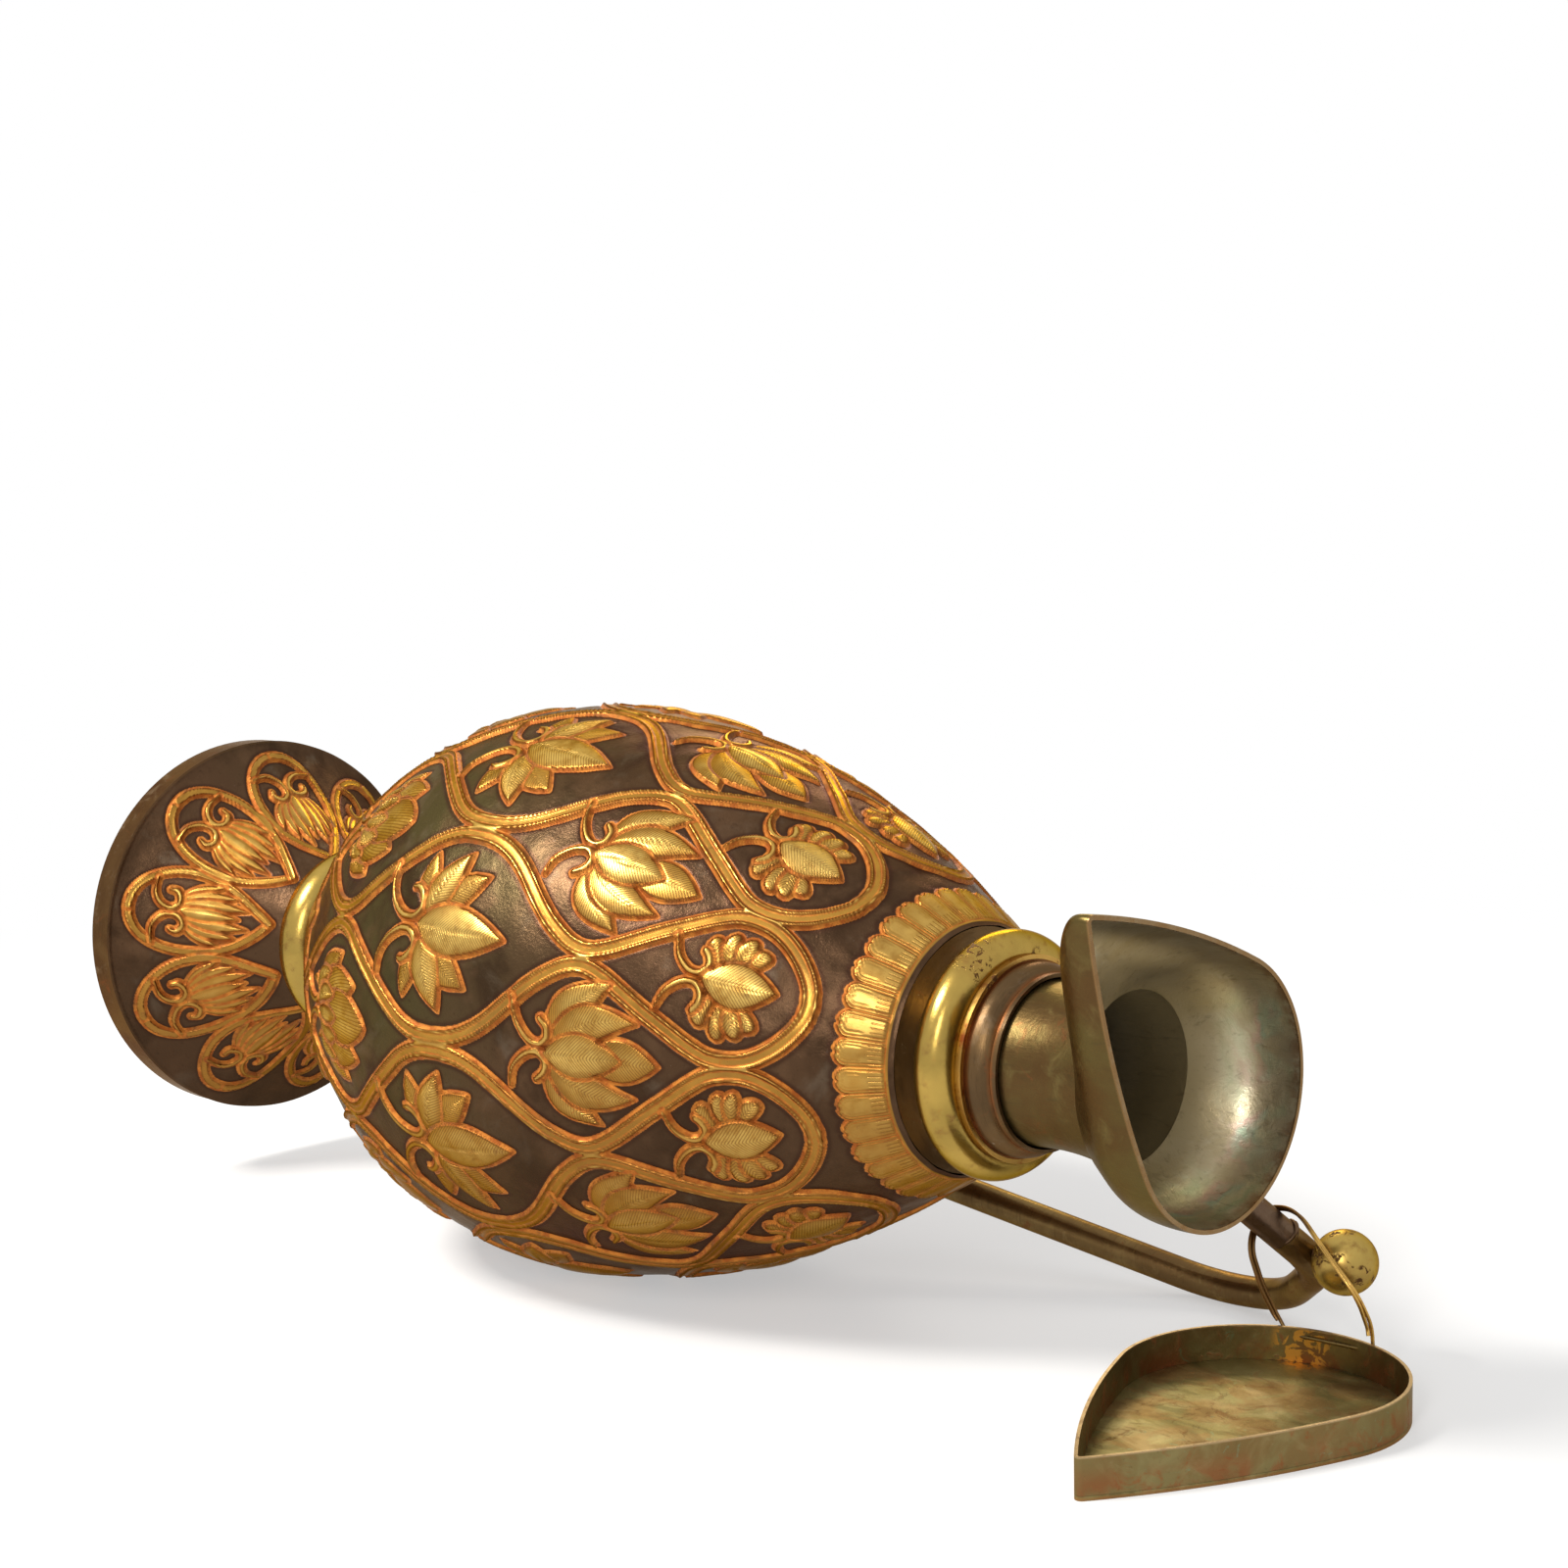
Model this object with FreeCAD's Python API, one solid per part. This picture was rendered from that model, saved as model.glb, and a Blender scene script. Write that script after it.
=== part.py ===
"""A raised and parcel-gilt ewer with a bent-bar handle and a wire-linked lid.

The ewer lies on its side as it is shown: its belly and the bend of its handle rest on the table,
and the lid lies open side up beside the mouth, still joined to the handle by its wire link.
Every piece is first made in the frame of its own half of the object. The ewer's has Z up its axis
from the foot's base and X towards the handle. The lid's has Z up from the table under its round
back and -X towards its tip. Both are then laid on the table, with the ewer's axis along +X.
Lengths are millimetres and angles are degrees.
"""
import FreeCAD
import Part
import math
import os

from FreeCAD import Placement, Rotation, Vector

# Foot
foot_radius = 51.1
foot_band_height = 7.6
foot_band_wall = 1.4
foot_wall = 1.1
foot_stem_radius = 17.0
foot_stem_base = 44.0
foot_ring_height = 50.9
foot_ring_radius = 19.1
foot_ring_section = 6.0
# How far out from stem to rim, and how far up from band to stem, the trumpet's outline runs
foot_outline_shares = [(1.0, 0.0), (0.87, 0.07), (0.63, 0.25), (0.38, 0.50), (0.15, 0.79), (0.0, 1.0)]

# Body
belly_radius = 66.75
belly_height = 154.2
body_top = 267.6
body_top_radius = 25.95
body_foot_radius = 21.65
body_wall = 1.25
# The radius of the arc under the belly, in heights of the belly over the body's foot
under_belly_arc_share = 1.0571
collar_low = 256.9
collar_high = 266.2
collar_relief = 0.5

# Lotus scroll: raised vine loops side by side round the body, and a lotus in each mesh between their pinches
scroll_loops = 8
scroll_turn = -156.8
scroll_relief = 0.8
vine_radius = 2.0
vine_pinch = 2.5
vine_bend_share = 0.45
handle_clearance = 1.5
# The vine of half a loop: shares of the body's height, and of the way from its pinch to its widest
vine_shares = [
    (0.900, 0.96), (0.845, 1.0), (0.798, 0.66), (0.752, 0.24), (0.708, 0.0), (0.660, 0.20), (0.608, 0.67),
    (0.562, 0.97), (0.505, 1.0), (0.452, 0.72), (0.405, 0.28), (0.357, 0.0), (0.305, 0.16), (0.255, 0.58),
    (0.205, 0.97), (0.150, 1.0), (0.106, 0.76),
]
vine_top_share = 0.930
vine_top_run = 7.0
vine_foot_share = 0.080
vine_foot_run = 5.5
# Each lotus: its turn in shares of a loop, and its outline as millimetres across and shares of the body's height
lotus_outlines = [
    (0.0, [
        (-1.5, 0.829), (3.0, 0.835), (9.8, 0.842), (10.2, 0.872), (4.4, 0.874), (-0.6, 0.888),
        (-5.4, 0.874), (-10.4, 0.872), (-10.2, 0.842), (-4.8, 0.835),
    ]),
    (0.5, [
        (-3.5, 0.682), (3.0, 0.682), (13.5, 0.722), (7.4, 0.726), (7.2, 0.761), (3.2, 0.750), (0.9, 0.790),
        (-3.6, 0.752), (-7.2, 0.766), (-8.0, 0.730), (-16.0, 0.738),
    ]),
    (0.0, [
        (-5.0, 0.491), (4.0, 0.491), (16.5, 0.533), (5.4, 0.543), (4.2, 0.566), (-0.5, 0.606), (-5.0, 0.566),
        (-6.2, 0.541), (-17.5, 0.529),
    ]),
    (0.5, [
        (-1.0, 0.297), (8.0, 0.306), (12.5, 0.338), (7.6, 0.360), (0.0, 0.400), (-8.8, 0.360), (-13.4, 0.334),
        (-9.0, 0.305),
    ]),
    (0.0, [
        (-0.6, 0.155), (4.0, 0.168), (9.4, 0.192), (3.6, 0.200), (-0.3, 0.227), (-4.2, 0.200), (-9.8, 0.190),
        (-4.6, 0.168),
    ]),
]

# Neck
neck_wall = 0.95
neck_seat_radius = 20.6
neck_ring_height = 275.2
neck_ring_radius = 21.5
neck_ring_section = 4.7
neck_fillet_radius = 21.6
neck_fillet_height = 1.5
moulding_radius = 20.2
moulding_top = 286.4
neck_groove = 0.5
neck_lip_radius = 18.4
neck_lip_height = 1.4
neck_low_radius = 17.6
neck_waist_radius = 17.0
neck_waist_height = 298.2
neck_top = 308.0
neck_top_radius = 18.5
neck_socket = 2.4
cove_bow_share = 0.30
moulding_bow_share = 0.90

# Mouth
mouth_rim = 329.2
mouth_radius = 27.3
mouth_tip = 56.5
mouth_side_radius = 180.0
mouth_tip_radius = 1.5
mouth_wall = 0.9
# How far round from the back a round level is divided, in half turns
round_division_shares = [0.60, 0.74, 0.88, 1.0]
# At each level of the bowl: up from neck to rim, out from neck to rim, and on towards the tip
mouth_level_shares = [
    (0.0, 0.0, 0.0),
    (0.19, 0.42, 0.20),
    (0.36, 0.70, 0.47),
    (0.53, 0.90, 0.76),
    (0.72, 0.985, 0.94),
    (1.0, 1.0, 1.0),
]

# Handle: a round bar in two pieces, the arm out of the neck and the bent bar down to the belly
bar_radius = 3.5
arm_lean = 18.8
arm_out = 54.0
arm_up = 314.0
seam_past_link = 3.3
crest_past_link = 16.0
handle_shoulder_out = 88.6
handle_shoulder_up = 301.0
handle_elbow_out = 91.8
handle_elbow_up = 281.0
handle_foot_sink = 5.85
handle_foot_up = 180.3
crest_bend_share = 0.60
bar_bend_share = 0.45
ball_radius = 6.9
ball_sink = 0.35
ball_share = 0.21

# Lid: a flat plate with an upright wall round it
lid_radius = 29.1
lid_tip = 60.3
lid_side_radius = 190.0
lid_tip_radius = 1.3
lid_plate_depth = 0.9
lid_wall_depth = 0.7
lid_height = 8.3
lid_x = 329.6
lid_y = 12.6
lid_turn = 91.45

# Wire link: two turns of wire round the arm, the first threaded through the lid's wall
wire_radius = 0.4
wire_fit = 0.05
link_play = 0.35
turn_gap = 0.2
pin_below_rim = 1.8
pin_inset = 1.05
pin_turn = 3.6
pin_bend = 0.6
leg_clearance = 0.03
wire_bend_share = 0.45
second_turn_share = 0.35
# Corners of each leg: down from arm to pin, across towards that end of the pin, and outwards
right_leg_shares = [(-0.18, 0.78, -0.05), (0.13, 1.22, 0.07), (0.44, 1.62, 0.14), (0.77, 1.27, -0.01)]
left_leg_shares = [(0.60, 0.93, 0.04), (0.82, 1.04, -0.01)]

# Fits
solder_gap = 0.05
overrun = 2.0
outline_steps = 24

ORIGIN = Vector(0, 0, 0)
ACROSS = Vector(1, 0, 0)
UP = Vector(0, 0, 1)
FULL_TURN = 360


def between(low, high, share):
    return low + (high - low) * share


def at(radius, height):
    """A point of the XZ plane, in which every outline lies."""
    return Vector(radius, 0, height)


def line(start, end):
    return Part.LineSegment(start, end).toShape()


def chain(points):
    return [line(start, end) for start, end in zip(points, points[1:])]


def arc(start, middle, end):
    return Part.Arc(start, middle, end).toShape()


def curve_through(points):
    curve = Part.BSplineCurve()
    curve.interpolate(points)
    return curve


def set_in(curve, depth):
    """The curve that runs inside one that climbs the XZ plane, at a depth square to it."""
    points = []
    for step in range(outline_steps + 1):
        place = between(curve.FirstParameter, curve.LastParameter, step / outline_steps)
        along = curve.tangent(place)[0]
        points.append(curve.value(place) + at(-along.z, along.x) * depth)
    return curve_through(points)


def ends(curve):
    return curve.value(curve.FirstParameter), curve.value(curve.LastParameter)


def turned(edges):
    """The solid that a closed outline in the XZ plane makes when it turns about the Z axis."""
    face = Part.Face(Part.Wire(edges))
    return face.revolve(ORIGIN, UP, FULL_TURN)


def drum(radius, low, high):
    return Part.makeCylinder(radius, high - low, UP * low)


def bent_path(points, cuts):
    """Straight runs through the points, with a tangent arc that starts each cut before its corner."""
    edges = []
    start = points[0]
    for before, corner, after, cut in zip(points, points[1:], points[2:], cuts):
        into = (corner - before).normalize()
        away = (after - corner).normalize()
        half_turn = into.getAngle(away) / 2
        radius = cut / math.tan(half_turn)
        inward = (away - into).normalize()
        middle = corner + inward * (radius / math.cos(half_turn) - radius)
        edges.append(line(start, corner - into * cut))
        edges.append(arc(corner - into * cut, middle, corner + away * cut))
        start = corner + away * cut
    edges.append(line(start, points[-1]))
    return edges


def shared_cuts(points, shares):
    """The cut at each inner corner, as a share of the shorter run beside it."""
    cuts = []
    for before, corner, after, share in zip(points, points[1:], points[2:], shares):
        cuts.append(share * min((corner - before).Length, (after - corner).Length))
    return cuts


def rod(edges, radius):
    """A round rod along straight edges and arcs."""
    pieces = []
    for edge in edges:
        first = edge.FirstParameter
        start = edge.valueAt(first)
        if edge.Curve.TypeId == "Part::GeomCircle":
            section = Part.Face(Part.Wire(Part.Circle(start, edge.tangentAt(first), radius).toShape()))
            turn = math.degrees(edge.LastParameter - first)
            pieces.append(section.revolve(edge.Curve.Center, edge.Curve.Axis, turn))
        else:
            pieces.append(Part.makeCylinder(radius, edge.Length, start, edge.tangentAt(first)))
    return pieces[0].fuse(pieces[1:]).removeSplitter()


# Foot

def base_height():
    return foot_ring_height + foot_ring_section + solder_gap


def make_foot_dome():
    """The trumpet-shaped foot, raised from one sheet, with the stem that carries the body."""
    points = [
        at(between(foot_stem_radius, foot_radius, out), between(foot_band_height, foot_stem_base, up))
        for out, up in foot_outline_shares
    ]
    outside = curve_through(points)
    inside = set_in(outside, foot_wall)
    rim, stem = ends(outside)
    inner_rim, inner_stem = ends(inside)
    top = base_height() - solder_gap
    above = top + overrun
    outer = [outside.toShape()]
    outer += chain([stem, at(stem.x, top), at(0, top), at(0, rim.z), rim])
    inner = [inside.toShape()]
    inner += chain([inner_stem, at(inner_stem.x, above), at(0, above), at(0, 0), at(inner_rim.x, 0), inner_rim])
    return turned(outer).cut(turned(inner))


def make_foot_band():
    """The upright strip soldered under the edge of the foot, on which the ewer stands."""
    top = foot_band_height - solder_gap
    return drum(foot_radius, 0, top).cut(drum(foot_radius - foot_band_wall, 0, top))


def make_foot_ring():
    """The gilt ring that hides the joint of foot and body."""
    ring = Part.makeTorus(foot_ring_radius, foot_ring_section, UP * foot_ring_height)
    return ring.cut(drum(foot_stem_radius + solder_gap, 0, body_top))


# Body

def under_belly():
    """The arc under the belly: its centre, its radius and the angle of the straight taper that leaves it."""
    radius = under_belly_arc_share * (belly_height - base_height())
    centre = at(belly_radius - radius, belly_height)
    reach = at(body_foot_radius, base_height()) - centre
    lean = math.atan2(-reach.z, reach.x) - math.acos(radius / reach.Length)
    return centre, radius, lean


def shoulder_radius(height):
    """A cosine's fall from the belly to the body's top."""
    fall = (body_top - belly_height) / math.acos(body_top_radius / belly_radius)
    return belly_radius * math.cos((height - belly_height) / fall)


def shoulder_curve():
    heights = [between(belly_height, body_top, step / outline_steps) for step in range(outline_steps + 1)]
    return curve_through([at(shoulder_radius(height), height) for height in heights])


def filled_body(depth, top):
    """The body's outside moved inwards by a depth, as a solid that is closed up to a height."""
    centre, radius, lean = under_belly()
    reach = radius - depth
    taper_top = centre + at(math.cos(lean), -math.sin(lean)) * reach
    arc_middle = centre + at(math.cos(lean / 2), -math.sin(lean / 2)) * reach
    drop = taper_top.z - base_height() - max(depth, 0)
    taper_foot = taper_top - at(drop * math.tan(lean), drop)
    shoulder = set_in(shoulder_curve(), depth)
    belly, shoulder_top = ends(shoulder)
    high = max(top, shoulder_top.z + overrun)
    edges = [line(taper_foot, taper_top), arc(taper_top, arc_middle, belly), shoulder.toShape()]
    edges += chain([shoulder_top, at(shoulder_top.x, high), at(0, high), at(0, taper_foot.z), taper_foot])
    return turned(edges).common(drum(foot_radius + belly_radius, 0, top))


def body_radius(height):
    """The radius of the body's outside, over the belly or under it."""
    if height >= belly_height:
        return shoulder_radius(height)
    centre, radius, lean = under_belly()
    drop = min(belly_height - height, radius * math.sin(lean))
    taper = belly_height - height - drop
    return centre.x + math.sqrt(radius ** 2 - drop ** 2) - taper * math.tan(lean)


def scroll_height(share):
    return between(base_height(), body_top, share)


def vine_point(share, reach):
    """A point on the middle of a loop's vine, which swings between its own pinch and its neighbour."""
    height = scroll_height(share)
    radius = body_radius(height) + scroll_relief - vine_radius
    pinch = vine_pinch / radius
    turn = between(pinch, math.pi / scroll_loops - pinch, reach)
    return Vector(radius * math.cos(turn), radius * math.sin(turn), height)


def vine_end(share, run):
    """Two points across a loop's end, from its middle outwards."""
    height = scroll_height(share)
    middle = at(body_radius(height) + scroll_relief - vine_radius, height)
    return [middle, middle + Vector(0, run, 0)]


def half_loop():
    """The vine of half a loop, as a round rod sunk in the wall, with its cut ends in the XZ plane."""
    points = vine_end(vine_top_share, vine_top_run)
    points += [vine_point(share, reach) for share, reach in vine_shares]
    points += reversed(vine_end(vine_foot_share, vine_foot_run))
    return rod(bent_path(points, shared_cuts(points, [vine_bend_share] * (len(points) - 2))), vine_radius)


def lotus(outline):
    """A plate with the outline of one lotus, which stands across the body's outside."""
    heights = [scroll_height(share) for across, share in outline]
    radius = body_radius(sum(heights) / len(heights))
    depth = body_wall + 2 * overrun
    corners = [Vector(radius - depth, across, height) for (across, share), height in zip(outline, heights)]
    return Part.Face(Part.makePolygon(corners + corners[:1])).extrude(ACROSS * 2 * depth)


def lotus_scroll():
    """The scroll, clear of the handle's foot and worn flat where the ewer lies on the table."""
    step = FULL_TURN / scroll_loops
    half = half_loop()
    halves = [half, half.mirror(ORIGIN, Vector(0, 1, 0))]
    plates = []
    vines = []
    for loop in range(scroll_loops):
        middle = scroll_turn + loop * step
        vines += [vine.rotated(ORIGIN, UP, middle) for vine in halves]
        plates += [lotus(outline).rotated(ORIGIN, UP, middle + turn * step) for turn, outline in lotus_outlines]
    lotuses = filled_body(-scroll_relief, collar_low).common(Part.makeCompound(plates))
    table = Part.makeBox(body_top, body_top, body_top, Vector(belly_radius, -body_top / 2, 0))
    table.rotate(ORIGIN, UP, math.degrees(ewer_roll()) - FULL_TURN / 4)
    handle = rod(bar_path(), bar_radius + handle_clearance)
    relief = []
    for piece in vines + lotuses.Solids:
        for space in (table, handle):
            if piece.BoundBox.intersect(space.BoundBox):
                piece = piece.cut(space)
        relief += piece.Solids
    return relief


def make_body_shell():
    """The egg-shaped body, raised from one sheet, its lotus scroll and petal collar standing proud."""
    collar = filled_body(-collar_relief, body_top)
    collar = collar.common(drum(belly_radius, collar_low, collar_high))
    shell = filled_body(0, body_top).fuse(collar).removeSplitter().fuse(lotus_scroll())
    return shell.cut(filled_body(body_wall, body_top + overrun))


# Neck

def fillet_base():
    """The height at which the fillet's outside meets the gilt ring under it."""
    return neck_ring_height + math.sqrt(neck_ring_section ** 2 - (neck_fillet_radius - neck_ring_radius) ** 2)


def make_neck_base():
    """The moulded piece on the shoulder: a cove, a seat for the gilt ring, a half-round and a lip."""
    low = body_top + solder_gap
    cove = shoulder_radius(body_top)
    seat_low = neck_ring_height - neck_ring_section - solder_gap
    seat_high = fillet_base() + neck_fillet_height + solder_gap
    groove = neck_lip_radius - neck_groove
    lip_high = moulding_top + neck_lip_height
    cove_bow = at(between(neck_seat_radius, cove, cove_bow_share), between(low, seat_low, 1 / 2))
    bow = at(between(groove, moulding_radius, moulding_bow_share), between(seat_high, moulding_top, 1 / 2))
    bore = neck_low_radius + solder_gap
    shelf = moulding_top - neck_socket - solder_gap
    throat = neck_low_radius - neck_wall
    edges = [arc(at(cove, low), cove_bow, at(neck_seat_radius, seat_low))]
    edges += chain([
        at(neck_seat_radius, seat_low), at(neck_seat_radius, seat_high), at(moulding_radius, seat_high),
    ])
    edges.append(arc(at(moulding_radius, seat_high), bow, at(groove, moulding_top)))
    edges += chain([
        at(groove, moulding_top), at(neck_lip_radius, moulding_top), at(neck_lip_radius, lip_high),
        at(bore, lip_high), at(bore, shelf), at(throat, shelf), at(throat, seat_low),
        at(cove - neck_wall, low), at(cove, low),
    ])
    return turned(edges)


def make_neck_ring():
    """The large gilt ring round the foot of the neck."""
    ring = Part.makeTorus(neck_ring_radius, neck_ring_section, UP * neck_ring_height)
    return ring.cut(drum(neck_seat_radius + solder_gap, body_top, mouth_rim))


def make_neck_fillet():
    """The narrow gilt band that lies on the ring."""
    low = fillet_base() + solder_gap
    high = fillet_base() + neck_fillet_height
    return drum(neck_fillet_radius, low, high).cut(drum(neck_seat_radius + solder_gap, low, high))


def neck_curve(inset):
    return curve_through([
        at(neck_low_radius - inset, moulding_top - neck_socket),
        at(neck_waist_radius - inset, neck_waist_height),
        at(neck_top_radius - inset, neck_top),
    ])


def filled_neck(inset):
    curve = neck_curve(inset)
    low, high = ends(curve)
    return turned([curve.toShape()] + chain([high, at(0, high.z), at(0, low.z), low]))


def make_neck_tube():
    """The waisted tube between the moulded base and the mouth."""
    return filled_neck(0).cut(filled_neck(neck_wall))


# Mouth and lid outlines

def teardrop(radius, tip, side_radius, tip_radius):
    """Half an outline that is round at the back, with a long side arc and a small round tip at -X."""
    side_reach = side_radius - radius
    tip_reach = tip - tip_radius
    spread = side_reach ** 2 + tip_reach ** 2 - (side_radius - tip_radius) ** 2
    turn = math.acos(spread / (2 * side_reach * tip_reach))
    outward = Vector(math.cos(turn), math.sin(turn), 0)
    side_centre = outward * -side_reach
    towards_tip = (Vector(-tip_reach, 0, 0) - side_centre).normalize()
    halfway = (outward + towards_tip).normalize()
    return [
        Vector(radius, 0, 0),
        outward * radius,
        side_centre + halfway * side_radius,
        side_centre + towards_tip * side_radius,
        Vector(-tip, 0, 0),
    ]


def round_outline(radius):
    """Half a circle, divided as a teardrop is."""
    points = [Vector(radius, 0, 0)]
    for share in round_division_shares:
        points.append(Vector(radius * math.cos(math.pi * share), radius * math.sin(math.pi * share), 0))
    return points


def closed_wire(half, height):
    """The closed outline of four arcs that a half and its mirror image make at a height."""
    lift = UP * height
    back, joint, side, tip_joint, tip = [point + lift for point in half]
    mirrored = [Vector(point.x, -point.y, point.z) for point in (joint, side, tip_joint)]
    far_joint, far_side, far_tip_joint = mirrored
    return Part.Wire([
        arc(far_joint, back, joint),
        arc(joint, side, tip_joint),
        arc(tip_joint, tip, far_tip_joint),
        arc(far_tip_joint, far_side, far_joint),
    ])


def mouth_section(up, out, on, inset):
    """One level of the bowl: round at the neck, and a teardrop above it."""
    height = between(neck_top + solder_gap, mouth_rim, up)
    radius = between(neck_top_radius, mouth_radius, out)
    if on == 0:
        return closed_wire(round_outline(radius - inset), height)
    tip = between(radius, mouth_tip, on)
    tip_radius = between(radius, mouth_tip_radius, math.sqrt(on))
    return closed_wire(teardrop(radius - inset, tip - inset, mouth_side_radius, tip_radius - inset), height)


def make_mouth_bowl():
    """The bowl above the neck, drawn out on one side into a pointed spout."""
    outside = Part.makeLoft([mouth_section(*level, 0) for level in mouth_level_shares], True)
    inside = Part.makeLoft([mouth_section(*level, mouth_wall) for level in mouth_level_shares], True)
    return outside.cut(inside)


# Handle

def arm_point(distance):
    """A point on the middle of the arm, at a distance beyond the link."""
    lean = math.radians(arm_lean)
    return at(arm_out, arm_up) + at(math.cos(lean), math.sin(lean)) * distance


def bar_path():
    points = [
        arm_point(seam_past_link + solder_gap),
        arm_point(crest_past_link),
        at(handle_shoulder_out, handle_shoulder_up),
        at(handle_elbow_out, handle_elbow_up),
        at(shoulder_radius(handle_foot_up) - handle_foot_sink, handle_foot_up),
    ]
    return bent_path(points, shared_cuts(points, [crest_bend_share, bar_bend_share, bar_bend_share]))


def make_handle_arm():
    """The straight arm that leans out and up from the neck to the welded seam."""
    start = arm_point(-arm_out / math.cos(math.radians(arm_lean)))
    return rod([line(start, arm_point(seam_past_link))], bar_radius).cut(filled_neck(-solder_gap))


def make_handle_bar():
    """The bar that turns over at the crest and runs down to the belly, shaped to sit on it."""
    return rod(bar_path(), bar_radius).cut(filled_body(-solder_gap, body_top))


def make_thumb_ball():
    """The gilt ball on the crest, hollowed below to sit on the bar."""
    crest = bar_path()[1]
    seat = crest.valueAt(between(crest.FirstParameter, crest.LastParameter, ball_share))
    outward = (seat - crest.Curve.Center).normalize()
    ball = Part.makeSphere(ball_radius, seat + outward * (bar_radius + ball_radius - ball_sink))
    return ball.cut(rod(bar_path(), bar_radius + solder_gap))


# The two halves on the table

def ewer_roll():
    """How far below the level the handle lies when it rests on the table beside the belly."""
    return math.asin((belly_radius - bar_radius) / Part.Wire(bar_path()).BoundBox.XMax)


def ewer_placement():
    """Lays the ewer down with its axis level, rolled until its handle rests beside its belly."""
    roll = ewer_roll()
    out = Vector(0, math.cos(roll), -math.sin(roll))
    side = Vector(0, math.sin(roll), math.cos(roll))
    return Placement(UP * belly_radius, Rotation(out, side, ACROSS))


def lid_placement():
    return Placement(Vector(lid_x, lid_y, 0), Rotation(UP, lid_turn))


# Lid

def lid_outline(inset):
    return teardrop(lid_radius - inset, lid_tip - inset, lid_side_radius, lid_tip_radius - inset)


def lid_slab(inset, low, high):
    return Part.Face(closed_wire(lid_outline(inset), low)).extrude(UP * (high - low))


def pin_line():
    """In the lid's frame, the middle of the wire inside its wall, and the way to its left end."""
    turn = math.radians(pin_turn)
    square = Vector(math.cos(turn), math.sin(turn), 0)
    along = Vector(-math.sin(turn), math.cos(turn), 0)
    inward = lid_radius - pin_inset
    clear = lid_radius + wire_radius + leg_clearance
    half = math.sqrt(clear ** 2 - inward ** 2) + pin_bend
    return square * inward + UP * (lid_height - pin_below_rim), along * half


def make_lid_plate():
    """The lid's flat top, which lies on the table."""
    return lid_slab(0, 0, lid_plate_depth)


def make_lid_wall():
    """The strip that stands round the edge of the lid, bored at its back for the link's wire."""
    low = lid_plate_depth + solder_gap
    wall = lid_slab(0, low, lid_height).cut(lid_slab(lid_wall_depth, low, lid_height))
    middle, left = pin_line()
    return wall.cut(Part.makeCylinder(wire_radius + wire_fit, left.Length * 2, middle - left, left))


# Link

def arm_frame():
    """On the table, the arm's middle at the link, and the ways along it, away from the body and aside."""
    ewer = ewer_placement()
    lean = math.radians(arm_lean)
    along = ewer.Rotation.multVec(at(math.cos(lean), math.sin(lean)))
    beyond = ewer.Rotation.multVec(at(-math.sin(lean), math.cos(lean)))
    aside = ewer.Rotation.multVec(Vector(0, 1, 0))
    return ewer.multVec(arm_point(0)), along, beyond, aside


def pin_on_table():
    middle, left = pin_line()
    lid = lid_placement()
    return lid.multVec(middle), lid.Rotation.multVec(left)


def leg_corners(across, shares):
    """The corners of one leg, from the arm down to the lid."""
    arm = arm_frame()[0]
    pin, left = pin_on_table()
    down = pin - arm
    outward = left.cross(down).normalize() * down.Length
    return [arm + down * drop + across * aside + outward * out for drop, aside, out in shares]


def wrap_corners():
    """The corners of the square that turns round the far side of the arm."""
    arm, along, beyond, aside = arm_frame()
    reach = bar_radius + link_play + wire_radius
    far = arm - beyond * reach
    return far, far + aside * reach, far - aside * reach


def leg_cuts(before, legs, after):
    points = [before] + legs + [after]
    return shared_cuts(points, [wire_bend_share] * len(legs))


def first_turn_path():
    """The closed turn: over the arm, down both legs, and straight through the lid's wall."""
    far, near_corner, last_corner = wrap_corners()
    pin, left = pin_on_table()
    right_legs = leg_corners(-left, right_leg_shares)
    left_legs = list(reversed(leg_corners(left, left_leg_shares)))
    wrap_cut = (near_corner - last_corner).Length * wire_bend_share
    points = [far, near_corner] + right_legs + [pin - left, pin + left] + left_legs + [last_corner, far]
    cuts = [wrap_cut]
    cuts += leg_cuts(near_corner, right_legs, pin - left)
    cuts += [pin_bend, pin_bend]
    cuts += leg_cuts(pin + left, left_legs, last_corner)
    cuts.append(wrap_cut)
    return bent_path(points, cuts)


def second_turn_path():
    """The open turn beside the first, on the neck's side, whose ends stop above the lid."""
    along = arm_frame()[1]
    far, near_corner, last_corner = wrap_corners()
    pin, left = pin_on_table()
    right_legs = list(reversed(leg_corners(-left, right_leg_shares)))
    left_legs = leg_corners(left, left_leg_shares)
    right_end = between(right_legs[0], pin - left, second_turn_share)
    left_end = between(left_legs[-1], pin + left, second_turn_share)
    points = [right_end] + right_legs + [near_corner, last_corner] + left_legs + [left_end]
    moved = []
    for index, point in enumerate(points):
        before = points[max(index - 1, 0)]
        after = points[min(index + 1, len(points) - 1)]
        way = (after - before).normalize()
        beside = (way * along.dot(way) - along).normalize()
        moved.append(point + beside * (wire_radius * 2 + turn_gap))
    return bent_path(moved, shared_cuts(moved, [wire_bend_share] * (len(moved) - 2)))


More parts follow.
